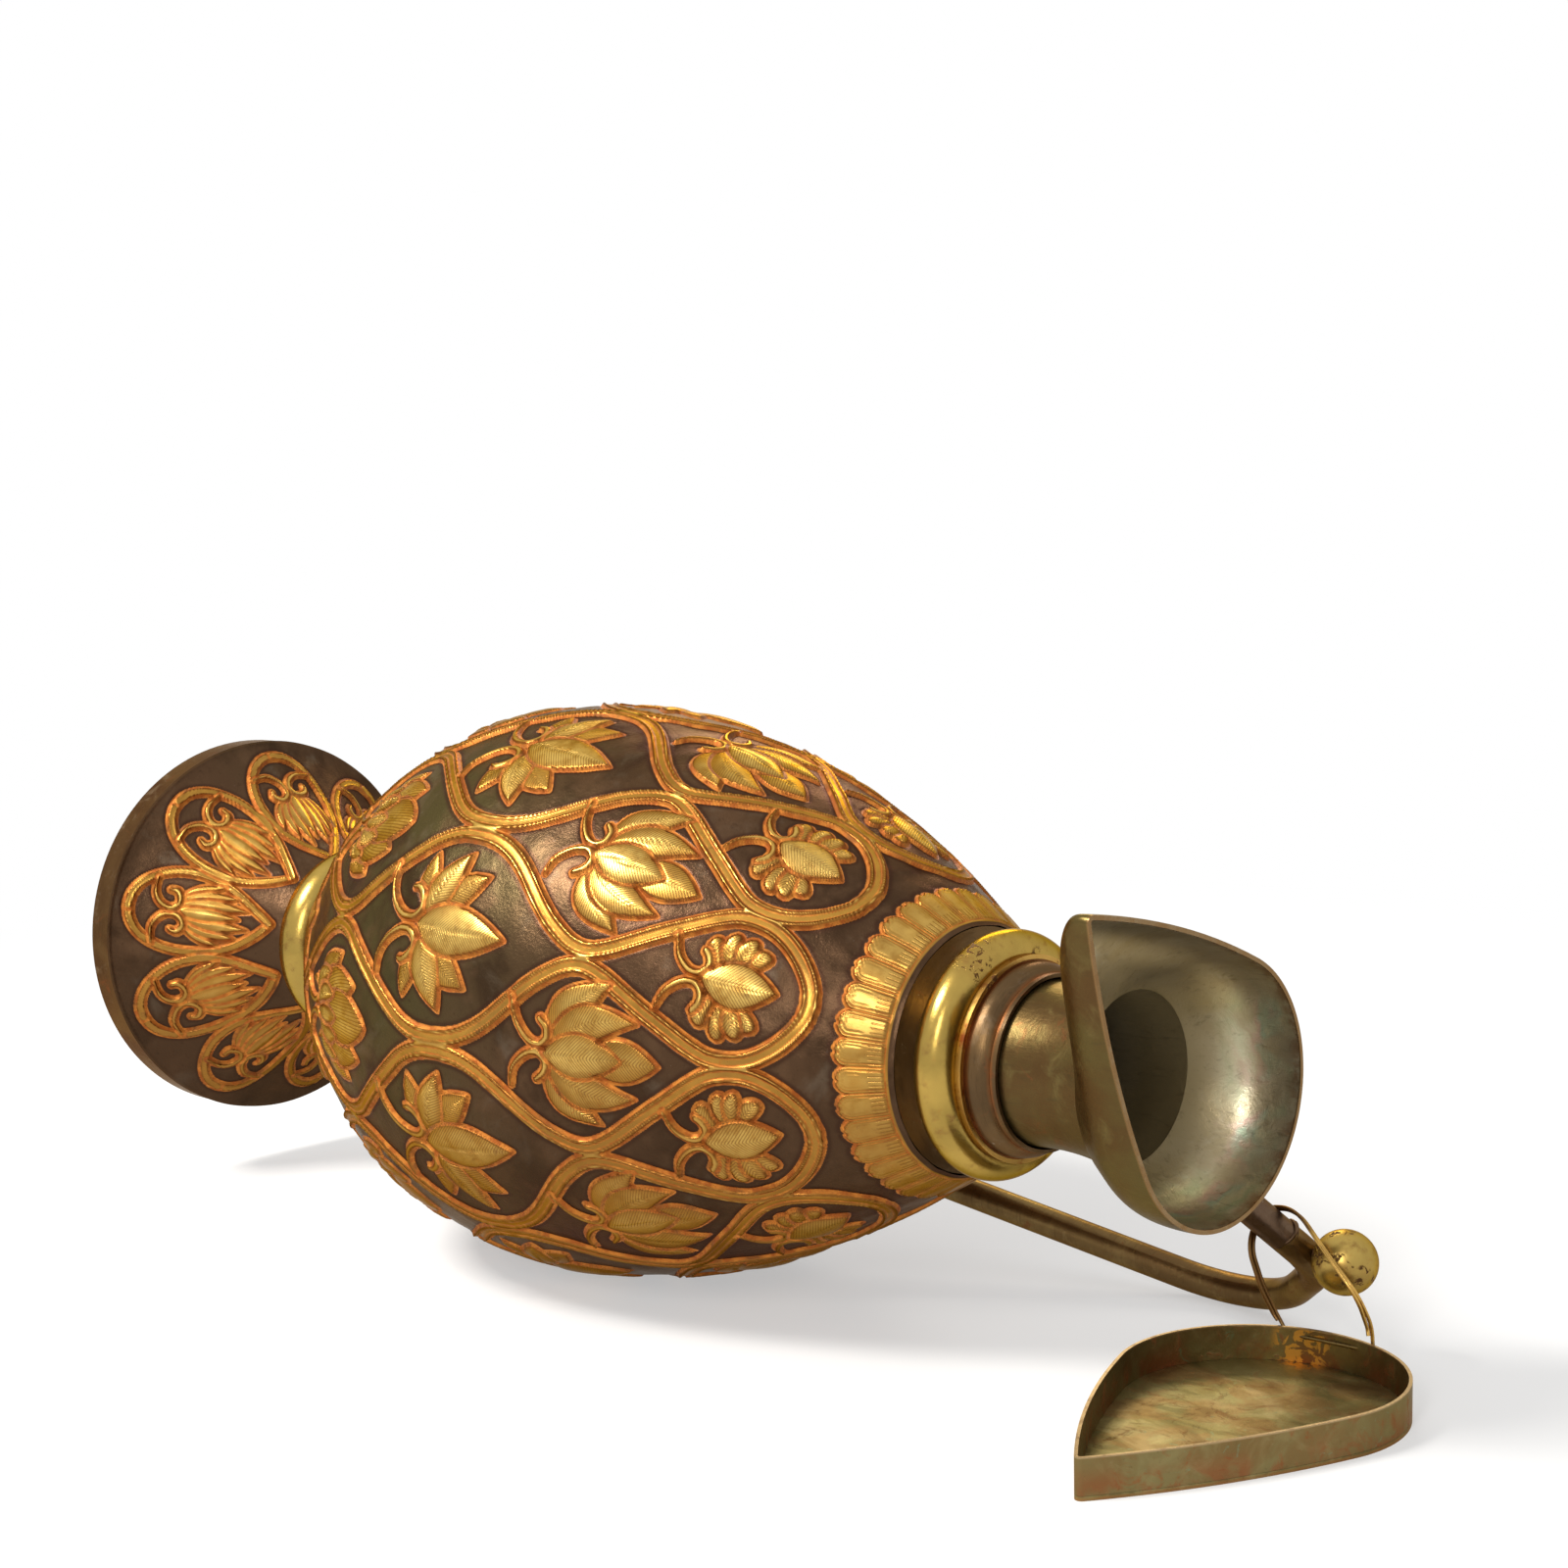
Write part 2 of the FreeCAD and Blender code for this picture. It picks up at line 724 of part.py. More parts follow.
def make_parts():
    ewer = ewer_placement()
    lid = lid_placement()
    table = Placement()
    return {
        "foot_dome": (make_foot_dome(), ewer),
        "foot_band": (make_foot_band(), ewer),
        "foot_ring": (make_foot_ring(), ewer),
        "body_shell": (make_body_shell(), ewer),
        "neck_base": (make_neck_base(), ewer),
        "neck_ring": (make_neck_ring(), ewer),
        "neck_fillet": (make_neck_fillet(), ewer),
        "neck_tube": (make_neck_tube(), ewer),
        "mouth_bowl": (make_mouth_bowl(), ewer),
        "handle_arm": (make_handle_arm(), ewer),
        "handle_bar": (make_handle_bar(), ewer),
        "thumb_ball": (make_thumb_ball(), ewer),
        "link_first_turn": (rod(first_turn_path(), wire_radius), table),
        "link_second_turn": (rod(second_turn_path(), wire_radius), table),
        "lid_plate": (make_lid_plate(), lid),
        "lid_wall": (make_lid_wall(), lid),
    }


def main():
    os.makedirs("parts", exist_ok=True)
    shapes = {}
    whole = FreeCAD.BoundBox()
    for name, (shape, placement) in make_parts().items():
        shapes[name] = shape.transformed(placement.toMatrix(), True)
        whole.add(shapes[name].optimalBoundingBox(False, False))
    shift = Vector(-whole.Center.x, -whole.Center.y, 0)
    for name, shape in shapes.items():
        shape.translate(shift)
        placed = shape.copy()
        placed.exportStep(os.path.join("parts", name + ".step"))
        print(name, "volume", round(placed.Volume, 1), "valid", placed.isValid(), "solids", len(placed.Solids))
    arm, along = arm_frame()[:2]
    pin, left = pin_on_table()
    print("box", whole.XLength, whole.YLength, whole.ZMin, whole.ZMax)
    print("link_swing at", arm + shift, "along", along)
    print("lid_swing at", pin + shift, "along", left.normalize())
    print("foot at", shift + UP * belly_radius)


main()
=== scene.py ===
"""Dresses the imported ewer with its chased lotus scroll, its gilding and its tarnish, and sets the stage."""
import math

import bpy
import numpy as np
from mathutils import Matrix, Vector


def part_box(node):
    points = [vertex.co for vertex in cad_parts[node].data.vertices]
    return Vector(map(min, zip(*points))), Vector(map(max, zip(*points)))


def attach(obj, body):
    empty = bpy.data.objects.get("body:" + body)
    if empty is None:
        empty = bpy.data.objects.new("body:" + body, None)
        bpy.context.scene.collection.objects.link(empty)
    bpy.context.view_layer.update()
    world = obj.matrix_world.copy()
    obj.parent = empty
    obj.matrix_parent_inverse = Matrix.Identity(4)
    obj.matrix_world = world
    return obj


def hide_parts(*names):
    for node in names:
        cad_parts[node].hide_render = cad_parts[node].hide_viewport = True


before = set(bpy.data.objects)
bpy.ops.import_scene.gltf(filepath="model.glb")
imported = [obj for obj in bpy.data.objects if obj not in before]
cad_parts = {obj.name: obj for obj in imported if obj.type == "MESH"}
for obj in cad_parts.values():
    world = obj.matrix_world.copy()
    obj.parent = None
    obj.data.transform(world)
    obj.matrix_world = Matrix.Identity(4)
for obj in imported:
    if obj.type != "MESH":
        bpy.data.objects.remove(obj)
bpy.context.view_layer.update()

bl_info = {
    "name": "Chased Ewer",
    "version": (1, 0, 0),
    "blender": (4, 5, 0),
    "location": "3D View > Sidebar > Ewer",
    "description": "Builds the chased relief, the finishes and the stage of a lidded ewer",
    "category": "Object",
}

MM = 0.001
FOOT_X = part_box("foot_band")[0][0] / MM
RING_LOW, RING_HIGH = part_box("foot_ring")
AXIS_Y = (RING_LOW[1] + RING_HIGH[1]) / 2 / MM
AXIS_Z = (RING_LOW[2] + RING_HIGH[2]) / 2 / MM

# The ewer's roll, its handle's arm and the camera. Places are in mm in the frame
ROLL = math.radians(43.855)
ARM_AXIS = (0.322266, 0.679405, -0.659207)
ARM_RADIUS = 3.42
ARM_FOLD = (FOOT_X + 315.06, AXIS_Y + 41.19, AXIS_Z - 39.57)
LEAF_SPOT = (FOOT_X + 321.0, AXIS_Y + 40.3, 5.0)
CAMERA_SPOT = (FOOT_X + 612.10, AXIS_Y - 398.301, AXIS_Z + 115.35)
CAMERA_AHEAD = (-0.7022, 0.6982, -0.1395)
CAMERA_RIGHT = (0.7072, 0.7067, -0.0227)
CAMERA_SHIFT = 0.0470125

# How the relief is set out. The copies of a motif stand a little closer together on the shown side
BODY_SHOWN, BODY_CROWD = math.radians(-156.8), math.radians(3.0)
FOOT_SHOWN, FOOT_CROWD = math.radians(-151.4), math.radians(2.6)

# The radius of the underside's arc, as a share of the belly's height over the body's lower end
UNDER_ARC = 1.0571

# How much wider the vines wind than they are listed, and the heights in mm between which they run
VINE_SPREAD = 1.0526
VINE_REACH = (70, 252)

# The radius in mm at which the dents of the hammered sheet are counted round it
DENT_RADIUS = 55

# How far up the foot the middle of an oval lies, and at which radius its motifs are drawn, in mm
OVAL_MIDDLE, OVAL_SCALE = 24.0, 35.0

# A petal's veins: 0 is none, 1 is veins, 2 is veins and a rib, 3 is the same with the veins lengthwise
RIBBED, LENGTHWISE = 2, 3

# What counts as far from a band and the least gap to the floor, in mm, and a map's margin as a share
FAR = 9.0
FLOOR_GAP = 0.02
MAP_MARGIN = 0.01
SMALL = 1e-12

# The heights of the residue in the neck's grooves, each with its width, in mm
NECK_GROOVES = [(281.4, 1.3), (286.4, 0.9)]
WHITE = (1.0, 1.0, 1.0)

# Folds of metal on the handle's arm: first and last turn in degrees, and how far along the arm in mm
ARM_FOLDS = [(-70, 120, 0.0), (10, 200, 0.9), (150, 290, 0.3)]


def in_mm(name, text, value):
    """A size in mm that a user would change."""
    return bpy.props.FloatProperty(name=name, description=f"{text}, in mm", default=value)


def count_of(name, text, value):
    return bpy.props.IntProperty(name=name, description=text, default=value)


def metal_tint(name, text, value):
    return bpy.props.FloatVectorProperty(name=name, description=text, default=value, subtype="COLOR")


# Sizes and colours that a user would change

class EwerSizes(bpy.types.PropertyGroup):
    """Sizes of the turned surfaces. Heights are measured up the axis from the foot's edge."""
    roll: bpy.props.FloatProperty(
        name="Roll", description="How far the handle lies below the level", default=ROLL, subtype="ANGLE")
    belly_radius: in_mm("Belly radius", "Widest radius", 66.75)
    belly_height: in_mm("Belly height", "Height of the belly", 154.2)
    body_low: in_mm("Body foot", "Height of the body's lower end", 56.95)
    body_low_radius: in_mm("Body foot radius", "Radius at the body's lower end", 21.65)
    body_top: in_mm("Body top", "Height of the body's upper end", 267.6)
    body_top_radius: in_mm("Body top radius", "Radius at the body's upper end", 25.95)
    body_wall: in_mm("Body wall", "Thickness of the raised sheet", 1.25)
    foot_radius: in_mm("Foot radius", "Radius of the foot's edge", 51.1)
    foot_band: in_mm("Foot band", "Height of the foot's upright edge", 7.6)
    stem_radius: in_mm("Stem radius", "Radius of the foot's stem", 17.0)
    stem_low: in_mm("Stem base", "Height at which the stem starts", 44.0)
    foot_wall: in_mm("Foot wall", "Thickness of the foot's sheet", 1.1)
    collar_low: in_mm("Collar low", "Height of the petal collar's tips", 256.9)
    collar_high: in_mm("Collar high", "Height of the collar's inner line", 266.2)


class EwerChasing(bpy.types.PropertyGroup):
    """Heights and widths of the relief, and how many there are of each motif."""
    row_gap: in_mm("Row gap", "Distance between rows of the mesh", 0.46)
    body_columns: count_of("Body columns", "Columns of the mesh round the body", 912)
    foot_columns: count_of("Foot columns", "Columns of the mesh round the foot", 540)
    vines: count_of("Vines", "Vine columns round the body", 8)
    vine_width: in_mm("Vine width", "Half width of a vine band", 1.85)
    vine_height: in_mm("Vine height", "Height of a vine's raised edges", 0.95)
    petal_height: in_mm("Petal height", "Height of a full petal", 1.5)
    ovals: count_of("Foot ovals", "Petal ovals round the foot", 9)
    lappets: count_of("Collar petals", "Petals round the collar", 34)


class EwerColours(bpy.types.PropertyGroup):
    """Colours of the metals and of what lies on them."""
    gilding: metal_tint("Gilding", "Rubbed gilding", (0.46, 0.235, 0.042))
    # Pale gilding on the relief's high places: partly rubbed gilding, partly painted highlight
    pale_gilding: metal_tint("Pale gilding", "Gilding on the high places", (0.74, 0.50, 0.135))
    ochre: metal_tint("Ochre", "Residue along the edges of the relief", (0.34, 0.092, 0.016))
    tarnish: metal_tint("Tarnish", "Purple-brown tarnish", (0.078, 0.042, 0.022))
    olive: metal_tint("Olive tarnish", "Olive-green tarnish", (0.068, 0.059, 0.022))
    # Pale patches on the tarnish: partly bloom, partly painted highlight
    bloom_and_highlight: metal_tint("Bloom", "Hazy pale patches on the tarnish", (0.150, 0.115, 0.080))


class EwerStage(bpy.types.PropertyGroup):
    """The floor, the sky and the camera."""
    floor_size: bpy.props.FloatProperty(
        name="Floor", description="Width of the floor", default=6.0, unit="LENGTH")
    sky: bpy.props.FloatProperty(
        name="Sky", description="Strength of the even light all round", default=0.46)
    lens: in_mm("Lens", "Focal length", 59.0872)


# Outlines of the turned surfaces

def body_outline(sizes):
    """Heights and radii of the body's outside, from its foot to its top."""
    arc = UNDER_ARC * (sizes.belly_height - sizes.body_low)
    centre = np.array([sizes.belly_radius - arc, sizes.belly_height])
    reach = np.array([sizes.body_low_radius, sizes.body_low]) - centre
    lean = math.atan2(-reach[1], reach[0]) - math.acos(arc / math.hypot(*reach))
    turn = np.linspace(lean, 0, 120)
    under = np.stack([centre[1] - arc * np.sin(turn), centre[0] + arc * np.cos(turn)], 1)
    heights = np.linspace(sizes.belly_height, sizes.body_top, 160)[1:]
    fall = (sizes.body_top - sizes.belly_height) / math.acos(sizes.body_top_radius / sizes.belly_radius)
    over = np.stack([heights, sizes.belly_radius * np.cos((heights - sizes.belly_height) / fall)], 1)
    return np.concatenate([[[sizes.body_low, sizes.body_low_radius]], under, over])


def smooth_line(points, steps):
    """A Catmull-Rom curve through the points, with some steps from each point to the next."""
    points = np.asarray(points, float)
    before = np.concatenate([[2 * points[0] - points[1]], points[:-2]])
    later = np.concatenate([points[2:], [2 * points[-1] - points[-2]]])
    share = np.linspace(0, 1, steps, endpoint=False)[None, :, None]
    p, q, r, s = (v[:, None, :] for v in (before, points[:-1], points[1:], later))
    curve = 0.5 * (2 * q + (r - p) * share + (2 * p - 5 * q + 4 * r - s) * share ** 2
                   + (3 * q - p - 3 * r + s) * share ** 3)
    return np.concatenate([curve.reshape(-1, curve.shape[-1]), points[-1:]])


def rounded_off(line, width):
    """A line whose wobbles are evened out over a few points, with its ends kept."""
    padded = np.concatenate([np.repeat(line[:1], width, 0), line, np.repeat(line[-1:], width, 0)])
    weight = np.hanning(2 * width + 1)
    weight /= weight.sum()
    even = np.stack([np.convolve(padded[:, k], weight, "valid") for k in range(line.shape[1])], 1)
    keep = ease(0, width, np.minimum(np.arange(len(line)), np.arange(len(line))[::-1]))[:, None]
    return line * (1 - keep) + even * keep


def foot_outline(sizes):
    """Heights and radii of the foot's outside, from its band to the gilt ring."""
    shares = [(1.0, 0.0), (0.87, 0.07), (0.63, 0.25), (0.38, 0.50), (0.15, 0.79), (0.0, 1.0)]
    width = sizes.foot_radius - sizes.stem_radius
    rise = sizes.stem_low - sizes.foot_band
    points = [(sizes.foot_band + up * rise, sizes.stem_radius + out * width) for out, up in shares]
    curve = smooth_line(points, 24)
    return np.concatenate([curve, [[sizes.body_low - 0.1, sizes.stem_radius]]])


# Relief

def ease(low, high, value):
    """From 0 at low to 1 at high, eased at both ends."""
    share = np.clip((value - low) / (high - low), 0, 1)
    return share * share * (3 - 2 * share)


def line_at(value, middle, width):
    """A soft line, 1 at its middle and fading over its width."""
    return np.exp(-((value - middle) / width) ** 2)


def nearest(across, upward, start, end):
    """Where on a straight stretch each point's nearest place lies, from 0 to 1, and how far away it is."""
    run_x, run_y = end[0] - start[0], end[1] - start[1]
    square = run_x * run_x + run_y * run_y + SMALL
    share = np.clip(((across - start[0]) * run_x + (upward - start[1]) * run_y) / square, 0, 1)
    return share, np.hypot(across - start[0] - share * run_x, upward - start[1] - share * run_y)


def depth_inside(across, upward, outline):
    """How deep each point lies inside a closed outline, negative outside."""
    least = np.full(across.shape, np.inf)
    crossings = np.zeros(across.shape, int)
    for start, end in zip(outline, np.roll(outline, -1, 0)):
        least = np.minimum(least, nearest(across, upward, start, end)[1])
        if start[1] != end[1]:
            passes = (start[1] > upward) != (end[1] > upward)
            level = start[0] + (upward - start[1]) * (end[0] - start[0]) / (end[1] - start[1])
            crossings += passes & (across < level)
    return np.where(crossings % 2 == 1, least, -least)


class Relief:
    """A turned surface laid flat, in rows up its outline and columns round it, and what is chased on it."""

    def __init__(self, outline, columns, row_gap, crowd, shown):
        lengths = np.concatenate([[0], np.cumsum(np.hypot(*np.diff(outline, axis=0).T))])
        rows = int(round(lengths[-1] / row_gap)) + 1
        self.along = np.linspace(0, lengths[-1], rows)
        self.height = np.interp(self.along, lengths, outline[:, 0])
        self.radius = np.interp(self.along, lengths, outline[:, 1])
        self.turn = np.arange(columns) * (2 * math.pi / columns)
        self.crowd, self.shown = crowd, shown
        self.raised, self.gilt, self.edge = np.zeros((3, rows, columns))
        self.shade, self.vein, self.veined = np.zeros((3, rows, columns))
        self.band, self.second = np.full((rows, columns), FAR), np.zeros((rows, columns))

    def crowded(self, even):
        """The true turn of an evenly spaced one: the copies stand closer together on the shown side."""
        turn = even
        for _ in range(12):
            turn = even - self.crowd * math.sin(turn - self.shown)
        return turn

    def row_of(self, height):
        return float(np.interp(height, self.height, self.along))

    def patch(self, turn, along, reach):
        """Rows and columns round a place, and each point's distances across and along from it."""
        gap = self.along[1]
        first = max(0, int((along - reach) / gap))
        last = min(len(self.along), int((along + reach) / gap) + 2)
        rows = np.arange(first, last)
        least = max(self.radius[rows].min(), 5.0)
        half = int(min(reach / least, math.pi * 0.98) / self.turn[1]) + 1
        middle = int(round(turn / self.turn[1]))
        columns = np.arange(middle - half, middle + half + 1)
        across = self.radius[rows][:, None] * (columns * self.turn[1] - turn)[None, :]
        upward = np.broadcast_to((self.along[rows] - along)[:, None], across.shape)
        return np.ix_(rows, columns % len(self.turn)), across, upward

    def around(self, place, outline, margin):
        """The grid's points round a motif laid at a place, with their distances from that place."""
        turn, height = place
        base = self.row_of(height)
        centre = outline.mean(0)
        reach = np.hypot(*(outline - centre).T).max() + margin
        aside = centre[0] / float(np.interp(base + centre[1], self.along, self.radius))
        where, across, upward = self.patch(turn + aside, base + centre[1], reach)
        upward = upward + centre[1]
        across = across + aside * np.interp(upward + base, self.along, self.radius)
        return where, across, upward

    def flat(self, points, scale_radius, height):
        """Motif points, given across and by height, as distances across and along on the surface."""
        points = np.asarray(points, float)
        own_radius = np.interp(points[:, 1], self.height, self.radius)
        across = points[:, 0] / scale_radius * own_radius
        upward = np.interp(points[:, 1], self.height, self.along) - self.row_of(height)
        return np.stack([across, upward], 1)

    def stamp(self, where, depth, height):
        """Raises a pillow inside a closed outline, over what is there, with a chased line round it."""
        inside = ease(-0.12, 0.22, depth)
        line = line_at(depth, -0.18, 0.38)
        self.raised[where] = self.raised[where] * (1 - inside) + inside * height - 0.20 * line * (1 - inside)
        self.edge[where] = np.maximum(self.edge[where] * (1 - inside), line)
        self.gilt[where] = np.maximum(self.gilt[where], inside)
        self.shade[where] = np.maximum(self.shade[where] * (1 - inside), line_at(depth, -0.85, 0.5))

    def petal(self, place, motif, scale_radius, height):
        """One petal from base to tip, whose motif is a line of numbers as in the lists below."""
        base, tip, half, bow, full, fill, rise, vein = motif
        start, end = self.flat([base, tip], scale_radius, place[1])
        run = end - start
        length = math.hypot(*run)
        ahead = run / length
        aside = np.array([-ahead[1], ahead[0]])
        share = np.linspace(0, 1, 26)
        wide = (half * np.sin(math.pi * share ** (math.log(0.5) / math.log(full))) ** fill)[:, None]
        spine = start + share[:, None] * run + (4 * bow * length * share * (1 - share))[:, None] * aside
        outline = np.concatenate([spine + wide * aside, (spine - wide * aside)[::-1]])
        where, across, upward = self.around(place, outline, 1.6)
        depth = depth_inside(across, upward, outline)
        up_petal = ((across - start[0]) * ahead[0] + (upward - start[1]) * ahead[1]) / length
        off_petal = (across - start[0]) * aside[0] + (upward - start[1]) * aside[1]
        off_petal = off_petal - 4 * bow * length * up_petal * (1 - up_petal)
        swell = 1 - np.exp(-np.clip(depth, 0, None) / max(half * 0.55, 0.6))
        lift = height * (0.36 + 0.64 * swell) * (rise[0] + (rise[1] - rise[0]) * np.clip(up_petal, 0, 1))
        rib = line_at(np.abs(off_petal), 0.32, 0.16) * ease(0.05, 0.2, up_petal) * ease(0.95, 0.6, up_petal)
        self.stamp(where, depth, lift - 0.16 * height * rib * (vein >= RIBBED))
        stripes = up_petal * length - 0.9 * np.abs(off_petal)
        if vein == LENGTHWISE:
            stripes = off_petal * (1.25 - 0.35 * up_petal)
        self.vein[where] = np.where(depth > -0.2, stripes, self.vein[where])
        self.mark_veins(where, depth, 1.0 if vein else 0.0)

    def mark_veins(self, where, depth, strength):
        inside = ease(-0.05, 0.3, depth)
        self.veined[where] = self.veined[where] * (1 - inside) + inside * strength

    def cord(self, place, motif, scale_radius, height, channel=False):
        """A raised cord along a curve. A motif's points give across, height and half width."""
        points = np.asarray(motif, float)
        line = np.concatenate([self.flat(points[:, :2], scale_radius, place[1]), points[:, 2:3]], 1)
        line = smooth_line(line, 7)
        where, across, upward = self.around(place, line[:, :2], line[:, 2].max() + 1.4)
        best, wide = np.full(across.shape, -FAR), np.ones(across.shape)
        for start, end in zip(line, line[1:]):
            share, far = nearest(across, upward, start, end)
            half = start[2] + (end[2] - start[2]) * share
            nearer = half - far > best
            best = np.where(nearer, half - far, best)
            wide = np.where(nearer, half, wide)
        swell = np.sqrt(np.clip(1 - (1 - np.clip(best, 0, None) / wide) ** 2, 0, 1))
        if channel:
            swell = 0.60 + 0.40 * line_at(best / wide, 0.30, 0.2)
        self.stamp(where, best, height * (0.25 + 0.75 * swell))
        self.mark_veins(where, best, 0.0)

    def vine(self, turns, heights, half):
        """Marks the distance from a band's middle line, for all bands together."""
        alongs = np.interp(heights, self.height, self.along)
        for (t0, a0), (t1, a1) in zip(zip(turns, alongs), zip(turns[1:], alongs[1:])):
            middle = (a0 + a1) / 2
            where, across, upward = self.patch((t0 + t1) / 2, middle, half + 2.2 + abs(a1 - a0))
            radius = np.interp(upward + middle, self.along, self.radius)
            start = (t0 - t1) / 2 * radius, (a0 - a1) / 2
            end = (t1 - t0) / 2 * radius, (a1 - a0) / 2
            far = nearest(across, upward, start, end)[1]
            self.second[where] = np.minimum(np.maximum(self.band[where], far), FAR)
            self.band[where] = np.minimum(self.band[where], far)


# The lotus scroll of the body. Places are in mm: across from the flower's middle, then height up the ewer.
# A petal's line gives base, tip, half width, bow, fullest place, fill, rise from base to tip, and veins.
# A cord's points give across, height and half width. The vine's points give height and degrees round.

VINE_LINE = [
    (251.6, 0.0), (251.2, 4.5), (249.8, 9.0), (247.4, 13.5), (244.4, 17.0), (241.0, 19.2), (237.2, 19.8),
    (233.4, 19.0), (229.6, 16.4), (225.0, 12.8), (220.0, 9.3), (215.0, 5.9), (210.5, 3.2), (206.0, 1.7),
    (202.0, 2.4), (198.5, 4.3), (194.5, 7.0), (190.0, 10.7), (185.0, 14.7), (180.0, 17.6), (174.5, 19.4),
    (168.0, 20.0), (162.0, 19.4), (157.0, 17.6), (152.5, 14.9), (148.0, 12.0), (143.5, 9.0), (139.0, 6.0),
    (134.5, 3.2), (129.0, 1.6), (124.0, 2.3), (119.0, 4.6), (113.0, 8.8), (106.5, 13.6), (99.5, 17.8),
    (92.0, 19.4), (85.0, 18.4), (79.0, 15.4), (74.5, 11.0), (71.5, 5.6), (70.6, 0.0),
]

ROW_TWO = {
    "middle": 170, "scale": 66.0,
    "back": [
        ((2.2, 164.0), (11.8, 177.2), 3.7, -0.08, 0.46, 0.86, (0.5, 1.0), 2),
        ((-3.0, 164.0), (-13.8, 177.0), 3.8, 0.08, 0.46, 0.86, (0.5, 1.0), 2),
        ((3.0, 163.0), (15.8, 157.8), 3.1, -0.10, 0.50, 0.86, (0.5, 0.95), 2),
        ((-3.8, 163.0), (-16.8, 158.4), 3.1, 0.10, 0.50, 0.86, (0.5, 0.95), 2),
    ],
    "front": [
        ((1.6, 162.0), (17.6, 170.2), 3.9, -0.05, 0.42, 0.88, (0.75, 1.05), 2),
        ((-2.6, 162.0), (-18.4, 169.6), 3.9, 0.05, 0.42, 0.88, (0.75, 1.05), 2),
        ((-0.8, 159.6), (-0.4, 186.0), 5.7, 0.0, 0.42, 0.92, (0.95, 1.05), 2),
    ],
    "cords": [
        [(11.2, 147.8, 0.5), (7.4, 147.9, 0.7), (3.6, 150.4, 0.85), (1.0, 154.6, 1.0), (1.2, 158.3, 1.0),
         (3.6, 160.3, 1.05), (6.0, 159.3, 1.0), (7.6, 157.0, 0.95), (7.4, 155.6, 0.7)],
        [(-13.6, 147.0, 0.5), (-9.4, 147.4, 0.7), (-5.2, 149.8, 0.85), (-2.4, 153.6, 1.0),
         (-1.9, 157.6, 1.0), (-3.8, 160.0, 1.05), (-6.6, 159.6, 1.0), (-8.6, 157.4, 0.95),
         (-8.6, 155.4, 0.7)],
    ],
}

ROW_THREE = {
    "middle": 208, "scale": 56.7,
    "back": [
        ((-0.8, 207.0), (1.0, 224.0), 4.4, 0.01, 0.50, 0.90, (0.6, 1.1), 2),
        ((-2.6, 199.2), (-16.8, 213.2), 4.2, 0.12, 0.44, 0.96, (0.6, 1.2), 2),
        ((1.0, 199.0), (14.6, 210.2), 4.2, -0.12, 0.44, 0.96, (0.6, 1.2), 2),
        ((-1.6, 199.0), (-8.8, 219.4), 4.3, 0.12, 0.44, 0.96, (0.7, 1.15), 2),
        ((0.2, 198.8), (8.6, 218.4), 4.3, -0.12, 0.44, 0.96, (0.7, 1.15), 2),
    ],
    "front": [((-1.1, 198.4), (-0.5, 216.2), 4.7, 0.0, 0.46, 0.86, (1.05, 1.02), 2)],
    "cords": [
        [(-11.6, 190.4, 0.45), (-7.2, 191.8, 0.7), (-3.9, 194.4, 0.85), (-2.5, 197.2, 0.95),
         (-3.8, 199.3, 1.0), (-6.2, 199.3, 0.95), (-7.8, 197.6, 0.75)],
        [(6.2, 189.8, 0.45), (2.6, 190.8, 0.7), (-0.2, 193.8, 0.85), (-1.0, 197.0, 0.95), (0.6, 199.0, 1.0),
         (3.0, 198.5, 0.95), (4.6, 196.4, 0.75)],
    ],
}

ROW_FOUR = {
    "middle": 236, "scale": 44.3,
    "back": [
        ((1.2, 234.4), (8.6, 231.0), 2.2, -0.10, 0.66, 0.46, (0.65, 1.0), 2),
        ((1.8, 238.2), (8.6, 242.4), 2.2, -0.10, 0.66, 0.46, (0.65, 1.0), 2),
        ((1.6, 236.2), (10.8, 234.9), 2.0, -0.06, 0.68, 0.44, (0.7, 1.0), 2),
        ((1.8, 237.0), (10.6, 238.6), 2.0, -0.04, 0.68, 0.44, (0.7, 1.02), 2),
        ((-2.6, 234.4), (-9.2, 230.8), 2.2, 0.10, 0.66, 0.46, (0.65, 1.0), 2),
        ((-3.0, 238.2), (-9.0, 242.6), 2.2, 0.10, 0.66, 0.46, (0.65, 1.0), 2),
        ((-2.6, 236.2), (-11.2, 234.7), 2.0, 0.06, 0.68, 0.44, (0.7, 1.0), 2),
        ((-3.0, 237.0), (-11.4, 238.6), 2.0, 0.04, 0.68, 0.44, (0.7, 1.02), 2),
    ],
    "front": [((-0.8, 230.4), (-0.6, 245.4), 4.8, 0.0, 0.46, 0.86, (1.15, 1.1), 2)],
    "cords": [
        [(6.0, 222.4, 0.45), (2.9, 223.9, 0.7), (0.7, 226.6, 0.85), (0.2, 229.3, 0.9), (1.8, 231.0, 0.95),
         (4.1, 231.0, 0.95), (5.6, 229.9, 0.85)],
        [(-7.9, 223.7, 0.45), (-4.3, 225.1, 0.7), (-2.0, 227.6, 0.85), (-1.8, 230.0, 0.9),
         (-3.4, 231.4, 0.95), (-5.3, 231.0, 0.95), (-6.3, 230.0, 0.85)],
    ],
}

